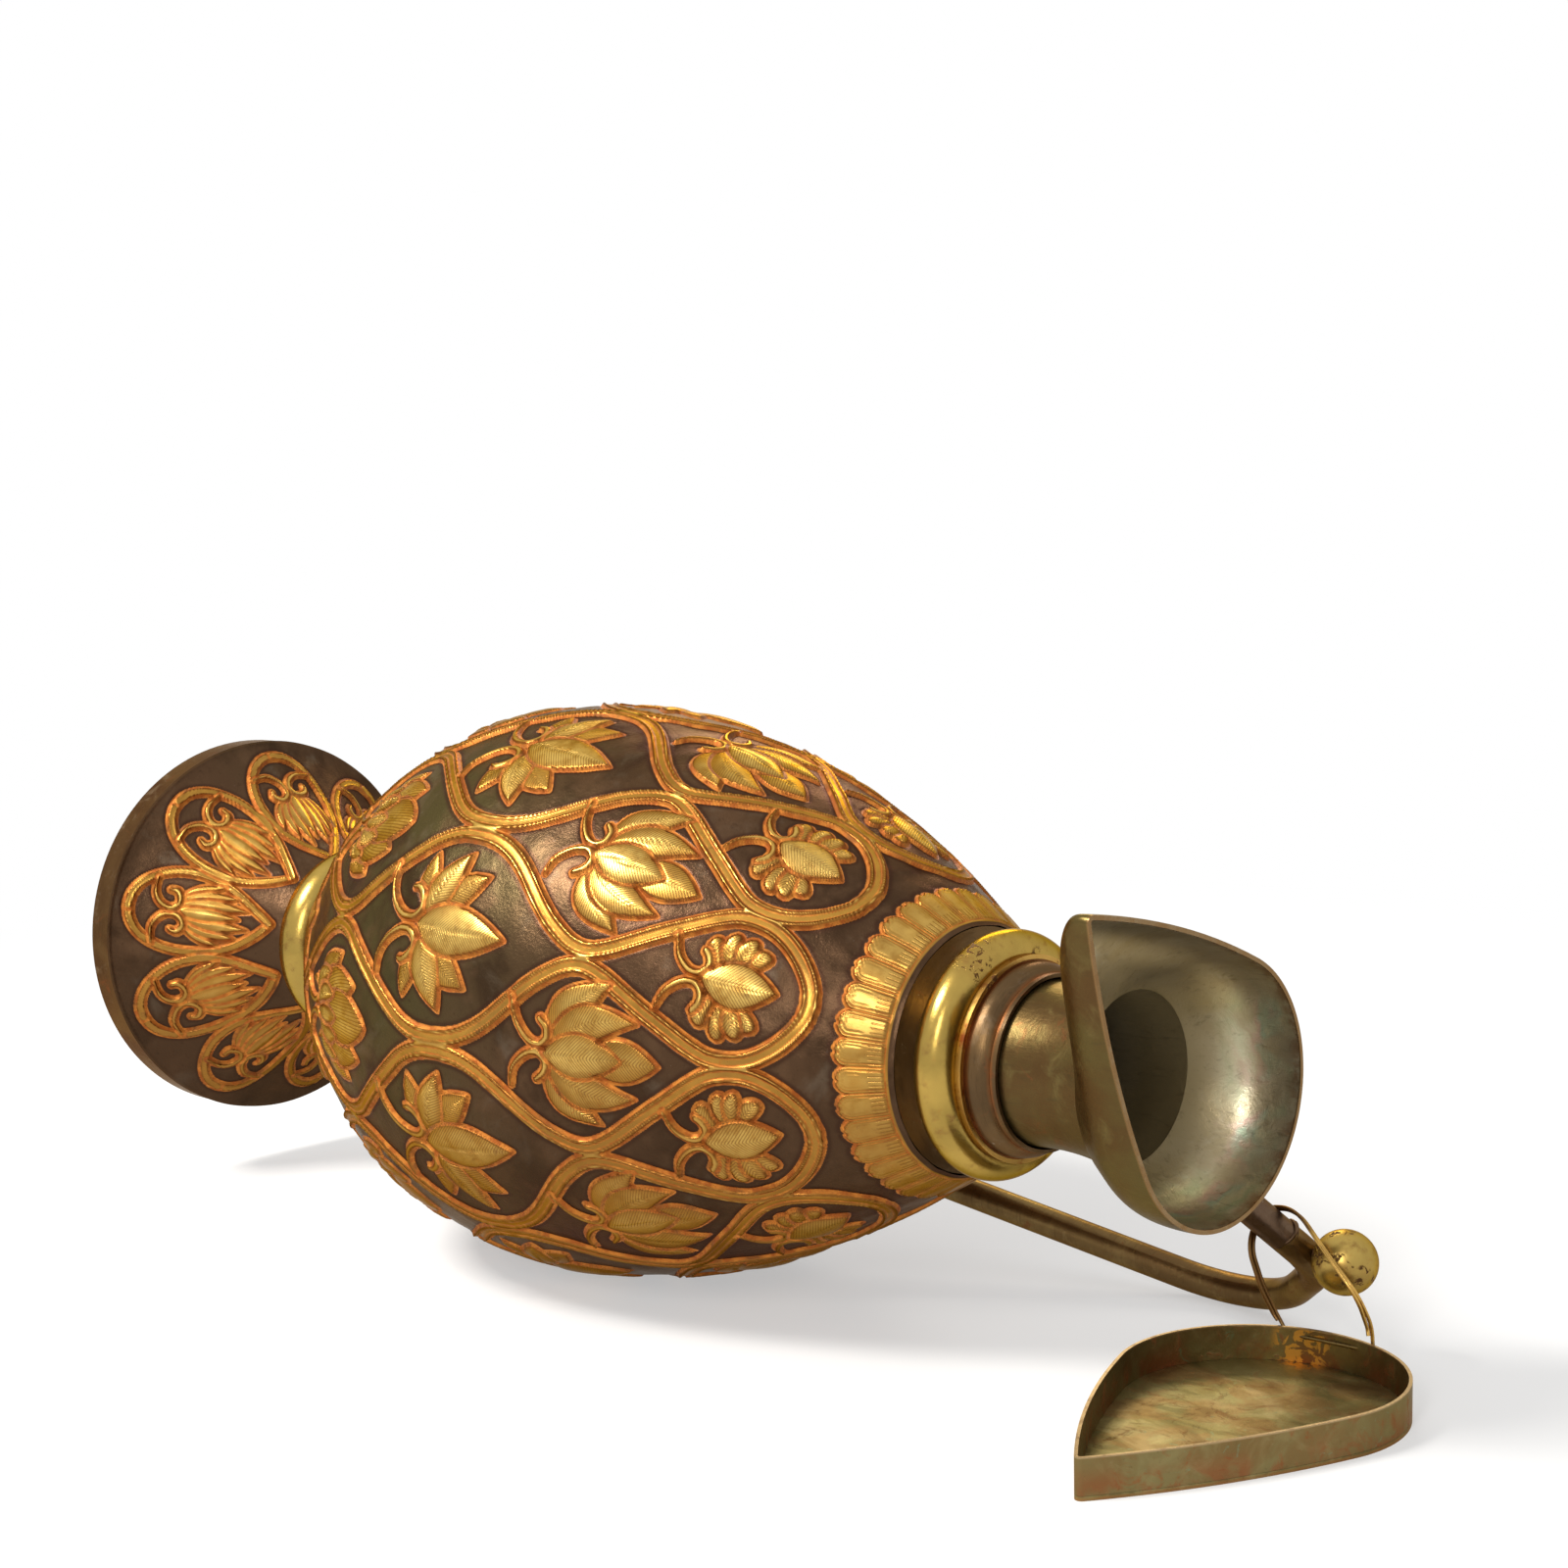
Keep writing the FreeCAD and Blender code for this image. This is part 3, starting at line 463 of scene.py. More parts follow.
ROW_ONE = {
    "middle": 128, "scale": 63.35,
    "back": [
        ((-2.2, 120.0), (-15.2, 131.8), 3.8, 0.12, 0.48, 0.86, (0.6, 1.0), 2),
        ((1.2, 120.0), (14.2, 132.0), 3.8, -0.12, 0.48, 0.86, (0.6, 1.0), 2),
        ((-2.2, 120.5), (-8.6, 138.8), 4.6, 0.10, 0.52, 0.80, (0.7, 1.0), 3),
        ((1.0, 120.5), (7.8, 138.8), 4.6, -0.10, 0.52, 0.80, (0.7, 1.0), 3),
        ((-0.8, 120.5), (0.0, 143.2), 6.4, 0.0, 0.52, 0.74, (0.8, 1.05), 3),
    ],
    "front": [
        ((-2.2, 119.0), (-10.6, 126.8), 2.3, 0.20, 0.54, 0.6, (0.85, 1.0), 2),
        ((1.2, 119.0), (9.4, 127.0), 2.3, -0.20, 0.54, 0.6, (0.85, 1.0), 2),
        ((-1.6, 118.8), (-5.8, 129.4), 2.3, 0.14, 0.54, 0.6, (0.9, 1.0), 2),
        ((0.6, 118.8), (4.8, 129.6), 2.3, -0.14, 0.54, 0.6, (0.9, 1.0), 2),
        ((-0.6, 118.4), (-0.5, 130.2), 2.4, 0.0, 0.5, 0.7, (1.0, 1.05), 2),
    ],
    "cords": [
        [(9.0, 108.4, 0.5), (5.0, 109.4, 0.75), (1.6, 112.6, 0.95), (0.4, 116.2, 1.0), (2.0, 118.9, 1.05),
         (4.8, 118.8, 1.0), (6.6, 116.6, 0.8)],
        [(-10.2, 108.2, 0.5), (-6.2, 109.2, 0.75), (-3.0, 112.4, 0.95), (-2.2, 116.0, 1.0),
         (-3.8, 118.8, 1.05), (-6.6, 118.6, 1.0), (-8.2, 116.4, 0.8)],
    ],
}

ROW_BASE = {
    "middle": 94, "scale": 45.0,
    "back": [
        ((1.8, 92.0), (9.4, 97.8), 2.2, -0.12, 0.58, 0.6, (0.7, 0.9), 1),
        ((-2.6, 92.0), (-9.8, 97.4), 2.2, 0.12, 0.58, 0.6, (0.7, 0.9), 1),
    ],
    "front": [((-0.6, 89.6), (-0.3, 104.8), 3.9, 0.0, 0.45, 0.75, (1.0, 1.0), 2)],
    "cords": [
        [(5.6, 80.8, 0.45), (2.6, 82.2, 0.7), (0.5, 85.0, 0.85), (0.3, 88.0, 0.9), (1.9, 89.9, 0.95),
         (4.2, 89.0, 0.8)],
        [(-6.4, 80.8, 0.45), (-3.4, 82.2, 0.7), (-1.4, 85.0, 0.85), (-1.3, 88.0, 0.9), (-2.9, 89.9, 0.95),
         (-5.0, 89.0, 0.8)],
    ],
}

# The foot's ovals, with their tendrils and buds. Here a place's second number is how far up the foot it is
OVAL_LINE = [
    (-0.4, 43.2), (5.0, 40.0), (9.0, 35.2), (10.9, 30.0), (11.2, 25.0), (10.7, 20.0), (9.7, 15.0),
    (7.6, 10.0), (4.9, 6.3), (0.4, 4.0), (-3.9, 6.0), (-7.0, 10.0), (-9.4, 15.0), (-10.5, 20.0),
    (-10.8, 25.0), (-9.8, 30.0), (-7.3, 35.0), (-3.8, 39.8), (-0.4, 43.2),
]
OVAL_CORDS = [
    [(8.0, 11.2, 0.55), (4.4, 11.2, 0.75), (1.9, 13.4, 0.85), (1.0, 16.2, 0.9), (1.9, 18.6, 0.9),
     (3.9, 19.4, 0.95), (5.4, 17.9, 0.9), (5.0, 16.1, 0.7)],
    [(-6.6, 10.8, 0.55), (-3.5, 11.0, 0.75), (-1.3, 12.6, 0.85), (-0.3, 15.2, 0.9), (-1.0, 17.3, 0.9),
     (-2.7, 17.9, 0.95), (-4.5, 16.8, 0.9), (-4.6, 14.8, 0.7)],
]
OVAL_PETALS = [
    ((2.2, 18.4), (9.6, 29.6), 1.7, -0.08, 0.44, 0.86, (0.7, 1.05), 0),
    ((-1.8, 17.2), (-9.4, 29.2), 1.7, 0.08, 0.44, 0.86, (0.7, 1.05), 0),
    ((1.6, 18.0), (7.0, 34.0), 1.9, -0.06, 0.44, 0.86, (0.8, 1.05), 0),
    ((-1.4, 17.0), (-6.8, 33.6), 1.9, 0.06, 0.44, 0.86, (0.8, 1.05), 0),
    ((0.9, 18.0), (3.4, 37.2), 1.9, -0.04, 0.44, 0.86, (0.9, 1.05), 0),
    ((-0.7, 17.0), (-3.2, 37.0), 1.9, 0.04, 0.44, 0.86, (0.9, 1.05), 0),
    ((0.2, 16.6), (0.1, 34.6), 1.8, 0.0, 0.44, 0.80, (1.0, 1.05), 0),
]


def lay_flower(relief, flower, even_turn, chasing, hand):
    """One flower with its two tendrils, a little different each time as work by hand is."""
    place = (relief.crowded(even_turn), flower["middle"])
    lift = chasing.petal_height

    def lay_petals(petals, height):
        for base, tip, half, bow, *rest in petals:
            tip = tip[0] + hand.normal(0, 0.25), tip[1] + hand.normal(0, 0.25)
            motif = (base, tip, half * (1 + hand.normal(0, 0.04)), bow + hand.normal(0, 0.012), *rest)
            relief.petal(place, motif, flower["scale"], height)

    lay_petals(flower["back"], lift * 0.8)
    for motif in flower["cords"]:
        relief.cord(place, motif, flower["scale"], lift * 0.62)
    lay_petals(flower["front"], lift)


def chase_vines(relief, chasing, hand):
    """Pairs of winding bands, with raised edges and a web where two of them meet."""
    pitch = 2 * math.pi / chasing.vines
    line = smooth_line(VINE_LINE, 4)
    drawn_at = math.radians(45)
    for vine in range(chasing.vines):
        for side in (-1, 1):
            sway = hand.normal(0, 0.004, 5)
            wobble = np.interp(line[:, 0], np.linspace(*VINE_REACH, 5), sway) * ease(0, 6, line[:, 1])
            offset = np.radians(line[:, 1] * VINE_SPREAD) * (pitch / drawn_at) + wobble
            turns = [relief.crowded(BODY_SHOWN + vine * pitch + side * o) for o in offset]
            relief.vine(np.array(turns), line[:, 0], chasing.vine_width)
    half = chasing.vine_width
    depth = half - relief.band
    near = relief.band / half
    profile = 0.44 + 0.56 * line_at(near, 0.72, 0.22) + 0.07 * line_at(near, 0.0, 0.3)
    web = np.clip(half * 1.25 - relief.second, 0, 1) * (relief.band < half * 1.5)
    inside = ease(-0.15, 0.22, depth)
    groove = line_at(depth, -0.18, 0.32)
    relief.raised += inside * profile * chasing.vine_height - 0.15 * groove * (1 - inside)
    relief.raised += (1 - inside) * web * 0.35
    relief.gilt = np.maximum(inside, web * 0.8)
    relief.edge = np.maximum(groove, 0.52 * line_at(near, 0.36, 0.16) * inside)
    relief.shade = line_at(depth, -0.95, 0.5)


def chase_body(sizes, chasing):
    """The body's whole relief: vines, flowers and the petal collar."""
    outline = body_outline(sizes)
    relief = Relief(outline, chasing.body_columns, chasing.row_gap, BODY_CROWD, BODY_SHOWN)
    hand = np.random.default_rng(7)
    chase_vines(relief, chasing, hand)
    pitch = 2 * math.pi / chasing.vines
    for vine in range(chasing.vines):
        middle = BODY_SHOWN + vine * pitch
        for flower in (ROW_FOUR, ROW_TWO, ROW_BASE):
            lay_flower(relief, flower, middle, chasing, hand)
        for flower in (ROW_THREE, ROW_ONE):
            lay_flower(relief, flower, middle + pitch / 2, chasing, hand)
    chase_collar(relief, sizes, chasing)
    dent = 0.10 * soft_waves(relief, 11, 5, 16.0) + 0.05 * soft_waves(relief, 12, 9, 7.0)
    relief.raised += dent * (1 - 0.6 * relief.gilt)
    return relief


def soft_waves(relief, seed, count, size):
    """Slow dents over the whole surface, which meet all the way round."""
    hand = np.random.default_rng(seed)
    total = np.zeros(relief.raised.shape)
    for _ in range(count * 3):
        rounds = hand.integers(1, max(2, int(2 * math.pi * DENT_RADIUS / size)))
        rate = hand.normal(0, 2 * math.pi / size)
        start = hand.uniform(0, 2 * math.pi)
        total += np.sin(rounds * relief.turn[None, :] + rate * relief.along[:, None] + start)
    return total / math.sqrt(count * 3)


def chase_collar(relief, sizes, chasing):
    """Petals round the shoulder, with double outlines, parting lines and short hatching."""
    count = chasing.lappets
    along = relief.along[:, None]
    low, high = relief.row_of(sizes.collar_low), relief.row_of(sizes.collar_high)
    share = ((relief.turn * count / (2 * math.pi)) % 1.0 * 2 - 1)[None, :]
    number = (relief.turn * count / (2 * math.pi)).astype(int) % count
    drop = np.random.default_rng(3).normal(0, 0.16, count)[number][None, :]
    wide = math.pi * relief.radius[:, None] / count
    across = share * wide
    up = along - (low + drop + wide)
    depth = wide - np.hypot(across, np.minimum(up, 0)) - 0.45 * line_at(across, 0.0, 0.4) * (up < 0)
    on = ease(-0.22, 0.22, np.where(up > 0, 1.0, depth))
    inner = along < high - 0.3
    tail = ease(high - 4.5, high - 6.0, along)
    lines = 0.9 * line_at(depth, 0.66, 0.20) + 0.6 * line_at(depth, 1.35, 0.20) * tail
    lines = np.clip((lines + line_at(depth, 0.0, 0.26) * (up > -0.2 * wide)) * inner, 0, 1)
    border = line_at(along, high - 0.1, 0.30)
    swell = 0.15 * np.sqrt(np.clip(1 - share ** 2, 0, 1)) * inner
    relief.raised = relief.raised * (1 - on) + on * (0.64 + swell - 0.17 * lines - 0.22 * border)
    edges = np.maximum(line_at(depth, -0.25, 0.32) * (up < 0), 0.50 * np.clip(lines + border, 0, 1) * on)
    relief.edge = np.maximum(relief.edge * (1 - on), edges)
    relief.gilt = np.maximum(relief.gilt * (1 - on), on)
    relief.shade = np.maximum(relief.shade * (1 - on), line_at(depth, -1.1, 0.6) * (up < 0))
    hatching = ease(high - 3.9, high - 3.3, along) * inner * ease(0.86, 0.70, np.abs(share))
    relief.vein = np.where(on > 0.5, across * 0.82, relief.vein)
    relief.veined = relief.veined * (1 - on) + on * 0.85 * hatching
    past = ease(high + 0.1, high + 0.7, along)
    for mark, beyond in (("raised", 0.35), ("edge", 0.15), ("gilt", 0.10)):
        setattr(relief, mark, getattr(relief, mark) * (1 - past) + beyond * past)


def chase_foot(sizes, chasing):
    """The foot's relief: pointed ovals that touch, each with two tendrils and a bud."""
    outline = foot_outline(sizes)
    relief = Relief(outline, chasing.foot_columns, chasing.row_gap, FOOT_CROWD, FOOT_SHOWN)
    lift = chasing.petal_height * 0.62

    def raised_to(points):
        return [(p[0], float(np.interp(p[1], relief.along, relief.height)), *p[2:]) for p in points]

    line = rounded_off(smooth_line(OVAL_LINE, 6), 9)
    edge = raised_to([(across, along, 1.25 - 0.006 * along) for across, along in line])
    middle = len(edge) // 2
    height = float(np.interp(OVAL_MIDDLE, relief.along, relief.height))
    for oval in range(chasing.ovals):
        place = (relief.crowded(FOOT_SHOWN + oval * 2 * math.pi / chasing.ovals), height)
        for half in (edge[:middle + 1:3], edge[middle::3]):
            relief.cord(place, half, OVAL_SCALE, lift * 0.8, channel=True)
        for base, tip, wide, *rest in OVAL_PETALS:
            relief.petal(place, (*raised_to([base, tip]), wide * 0.92, *rest), OVAL_SCALE, lift)
        for motif in OVAL_CORDS:
            relief.cord(place, raised_to(motif), OVAL_SCALE, lift * 0.9)
    relief.raised += 0.06 * soft_waves(relief, 21, 5, 14.0)
    # A raised lip at the foot's edge, half gilt as a painted highlight line
    lip_and_highlight = line_at(relief.along[:, None], 0.25, 0.4)
    relief.raised += 0.30 * lip_and_highlight
    relief.gilt = np.maximum(relief.gilt, 0.55 * lip_and_highlight)
    return relief


# Meshes

def ewer_axes(sizes):
    """The ewer's own directions: along its axis, towards its handle and across both."""
    along = np.array([1.0, 0.0, 0.0])
    handle = np.array([0.0, math.cos(sizes.roll), -math.sin(sizes.roll)])
    return along, handle, np.cross(along, handle)


def turned_point(sizes, height, radius, turn):
    """A point of a turned surface, in metres in the frame."""
    along, handle, across = ewer_axes(sizes)
    height, radius, turn = np.broadcast_arrays(height, radius, turn)
    point = np.array([FOOT_X, AXIS_Y, AXIS_Z]) + height[..., None] * along
    point = point + (radius * np.cos(turn))[..., None] * handle + (radius * np.sin(turn))[..., None] * across
    return point * MM


def mesh_of(name, points, faces, normals=None):
    """A smooth mesh object of equal faces, with its own normals where they are given."""
    mesh = bpy.data.meshes.new(name)
    mesh.vertices.add(len(points))
    mesh.vertices.foreach_set("co", np.ascontiguousarray(points, dtype=np.float32).ravel())
    mesh.loops.add(faces.size)
    mesh.loops.foreach_set("vertex_index", np.ascontiguousarray(faces, dtype=np.int32).ravel())
    mesh.polygons.add(len(faces))
    mesh.polygons.foreach_set("loop_start", np.arange(len(faces), dtype=np.int32) * faces.shape[1])
    mesh.polygons.foreach_set("use_smooth", np.ones(len(faces), dtype=bool))
    mesh.update(calc_edges=True)
    if normals is not None:
        mesh.normals_split_custom_set_from_vertices([tuple(n) for n in normals.tolist()])
    mesh.validate()
    piece = bpy.data.objects.new(name, mesh)
    bpy.context.scene.collection.objects.link(piece)
    return piece


def grid_cells(rows, columns, wrap):
    """The row and column of each cell of a grid, and how many cells it has across."""
    across = columns if wrap else columns - 1
    row, column = np.meshgrid(np.arange(rows - 1), np.arange(across), indexing="ij")
    return row, column, across


def grid_faces(rows, columns, wrap=False):
    row, column, _ = grid_cells(rows, columns, wrap)
    here, above = row * columns, (row + 1) * columns
    after = (column + 1) % columns
    return np.stack([here + column, here + after, above + after, above + column], -1).reshape(-1, 4)


def own_map(piece, rows, columns, wrap=False):
    """A flat map over the grid's rows and columns."""
    row, column, across = grid_cells(rows, columns, wrap)
    aside = np.stack([column, column + 1, column + 1, column], -1) / across
    up = np.stack([row, row, row + 1, row + 1], -1) / (rows - 1)
    spots = MAP_MARGIN + (1 - 2 * MAP_MARGIN) * np.stack([aside, up], -1)
    layer = piece.data.uv_layers.new(name="OFBake")
    layer.data.foreach_set("uv", spots.astype(np.float32).ravel())


def unit_of(vectors):
    return vectors / np.linalg.norm(vectors, axis=-1, keepdims=True)


def chased_shells(relief, sizes, name, count, finish):
    """The chased surface in equal shells round the axis, whose edges and normals meet exactly."""
    columns = len(relief.turn)
    slope = np.gradient(relief.radius, relief.along)
    climb = np.gradient(relief.height, relief.along)
    unit = np.hypot(slope, climb)
    out_radius, out_height = climb / unit, -slope / unit
    radius = relief.radius[:, None] + relief.raised * out_radius[:, None]
    height = relief.height[:, None] + relief.raised * out_height[:, None]
    points = turned_point(sizes, height, radius, relief.turn[None, :])
    points[..., 2] = np.maximum(points[..., 2], FLOOR_GAP * MM)
    round_ahead = np.roll(points, -1, 1) - np.roll(points, 1, 1)
    normals = unit_of(np.cross(round_ahead, np.gradient(points, axis=0)))
    around = np.roll(relief.raised, -1, 1) - np.roll(relief.raised, 1, 1)
    around /= 2 * relief.turn[1] * relief.radius[:, None]
    marks = {mark: getattr(relief, mark) for mark in ("gilt", "edge", "shade", "vein", "veined", "raised")}
    marks["slope"] = np.hypot(np.gradient(relief.raised, relief.along, axis=0), around)
    per = columns // count
    rows = len(relief.along)
    faces = grid_faces(rows, per + 1)
    pieces = []
    for shell in range(count):
        picked = np.arange(shell * per, shell * per + per + 1) % columns
        corners, directions = points[:, picked].reshape(-1, 3), normals[:, picked].reshape(-1, 3)
        piece = mesh_of(f"{name}_{shell + 1}", corners, faces, directions)
        for mark, values in marks.items():
            layer = piece.data.attributes.new(mark, "FLOAT", "POINT")
            layer.data.foreach_set("value", values[:, picked].ravel().astype(np.float32))
        own_map(piece, rows, per + 1)
        piece.data.materials.append(finish)
        pieces.append(piece)
    return pieces


def turned_skin(name, sizes, outline, finish, columns=192):
    """A plain turned surface along an outline of heights and radii."""
    turn = np.arange(columns) * (2 * math.pi / columns)
    points = turned_point(sizes, outline[:, :1], outline[:, 1:], turn[None, :])
    piece = mesh_of(name, points.reshape(-1, 3), grid_faces(len(outline), columns, wrap=True))
    own_map(piece, len(outline), columns, wrap=True)
    piece.data.materials.append(finish)
    return piece


def lining_outline(outline, wall):
    """A sheet's inside: in over its upper rim, down its inner side and out under its lower rim."""
    step = unit_of(np.gradient(outline, axis=0))
    inner = outline + wall * np.stack([step[:, 1], -step[:, 0]], 1)
    return np.concatenate([outline[-1:], inner[::-1], outline[:1]])


# Materials

class Signal:
    """A socket of a finish's nodes, on which Python's sums add Math nodes."""

    def __init__(self, finish, socket):
        self.finish = finish
        self.socket = socket

    def maths(self, operation, *values):
        return self.finish.node("ShaderNodeMath", {"operation": operation}, dict(enumerate(values)))

    def __add__(self, other):
        return self.maths("ADD", self, other)

    __radd__ = __add__

    def __sub__(self, other):
        return self.maths("SUBTRACT", self, other)

    def __rsub__(self, other):
        return self.maths("SUBTRACT", other, self)

    def __mul__(self, other):
        return self.maths("MULTIPLY", self, other)

    __rmul__ = __mul__

    def __truediv__(self, other):
        return self.maths("DIVIDE", self, other)

    def sine(self):
        return self.maths("SINE", self)

    def rest(self):
        """What is left past the last whole number."""
        return self.maths("FRACT", self)

    def size(self):
        return self.maths("ABSOLUTE", self)

    def larger(self, other):
        return self.maths("MAXIMUM", self, other)

    def clamp(self):
        return self.maths("MINIMUM", self.larger(0.0), 1.0)

    def between(self, low, high):
        """From 0 at low to 1 at high, eased."""
        settings = {"interpolation_type": "SMOOTHSTEP", "clamp": True}
        return self.finish.node("ShaderNodeMapRange", settings, {0: self, 1: low, 2: high, 3: 0.0, 4: 1.0})


class Finish:
    """The nodes of a material or a sky, and the calls that lay them out."""

    def __init__(self, name, kind="materials"):
        self.owner = getattr(bpy.data, kind).new(name)
        self.owner.use_nodes = True
        self.tree = self.owner.node_tree
        self.tree.nodes.clear()

    def node(self, kind, settings=None, inputs=None, output=0):
        """Adds a node with its settings, then feeds its sockets with numbers, colours or signals."""
        made = self.tree.nodes.new(kind)
        for key, value in (settings or {}).items():
            if key == "stops":
                ramp = made.color_ramp
                while len(ramp.elements) < len(value):
                    ramp.elements.new(1.0)
                for stop, (place, hue) in zip(ramp.elements, value):
                    stop.position, stop.color = place, (*hue, 1.0)
            else:
                setattr(made, key, value)
        for key, value in (inputs or {}).items():
            self.feed(made.inputs[key], value)
        return Signal(self, made.outputs[output])

    def feed(self, socket, value):
        if isinstance(value, Signal):
            self.tree.links.new(value.socket, socket)
        elif hasattr(value, "__len__") and len(value) == 3 and socket.type == "RGBA":
            socket.default_value = (*value, 1.0)
        else:
            socket.default_value = value

    def mark(self, name):
        """A value that the chased mesh carries at its points."""
        settings = {"attribute_name": name, "attribute_type": "GEOMETRY"}
        return self.node("ShaderNodeAttribute", settings, output=2)

    def place(self, scale=(1, 1, 1), turn=(0, 0, 0)):
        """Places in the piece's own space, in units of one millimetre over the scale."""
        spot = self.node("ShaderNodeTexCoord", output=3)
        steps = tuple(s / MM for s in scale)
        return self.node("ShaderNodeMapping", {"vector_type": "POINT"}, {0: spot, 2: turn, 3: steps})

    def along(self, axis):
        """A place's own X, Y or Z in mm."""
        return self.node("ShaderNodeSeparateXYZ", None, {0: self.place()}, output=axis)

    def vector(self, operation, *values, output=0):
        return self.node("ShaderNodeVectorMath", {"operation": operation}, dict(enumerate(values)), output)

    def noise(self, size, detail=3.0, rough=0.55, scale=(1, 1, 1), turn=(0, 0, 0), warp=0.0):
        """Noise whose lumps are about a size in mm."""
        inputs = {"Vector": self.place(scale, turn), "Scale": 1.0 / size, "Detail": detail,
                  "Roughness": rough, "Distortion": warp}
        return self.node("ShaderNodeTexNoise", {"noise_dimensions": "3D"}, inputs)

    def blend(self, share, first, second):
        settings = {"data_type": "RGBA", "blend_type": "MIX", "clamp_factor": True}
        return self.node("ShaderNodeMix", settings, {0: share, 6: first, 7: second}, output=2)

    def metal(self, tint, metallic, roughness, relief, depth, sheen):
        """Closes the material as a metal, whose relief signal is in shares of a depth in mm."""
        bump = self.node("ShaderNodeBump", None, {"Strength": 1.0, "Distance": depth * MM, "Height": relief})
        inputs = {"Base Color": tint, "Metallic": metallic, "Roughness": roughness, "Normal": bump}
        self.close(self.node("ShaderNodeBsdfPrincipled", None, inputs | sheen))
        return self.owner

    def seen(self):
        """1 for rays from the camera, from gloss and through glass."""
        path = self.tree.nodes.new("ShaderNodeLightPath")
        camera, glossy, glass = (Signal(self, path.outputs[ray]) for ray in (
            "Is Camera Ray", "Is Glossy Ray", "Is Transmission Ray"))
        return (camera + glossy + glass).clamp()

    def close(self, shader, kind="ShaderNodeOutputMaterial"):
        output = self.tree.nodes.new(kind)
        self.tree.links.new(shader.socket, output.inputs["Surface"])


# How a metal reflects at a glancing angle: the dark surfaces, and the paler mouth and lid
DARK_SHEEN = {"Specular Tint": (0.55, 0.42, 0.30), "Specular IOR Level": 0.25}
PALE_SHEEN = {"Specular Tint": (0.66, 0.56, 0.42), "Specular IOR Level": 0.30}
RING_GOLD = (0.35, 0.235, 0.056)


def colour(group, name):
    return tuple(getattr(group, name))


def brighter(tint, share):
    return tuple(min(1.0, c * share) for c in tint)


def axial(finish):
    """Height up the ewer's axis in mm, from the piece's own place."""
    return finish.along(0) - FOOT_X


def outwardness(finish):
    """How far a surface of the ewer faces away from its axis, from -1 to 1."""
    facing = finish.node("ShaderNodeNewGeometry", output=1)
    spot = finish.vector("SUBTRACT", finish.place(), (0, AXIS_Y, AXIS_Z))
    away = finish.vector("NORMALIZE", finish.vector("MULTIPLY", spot, (0, 1, 1)))
    return finish.vector("DOT_PRODUCT", away, facing, output=1)


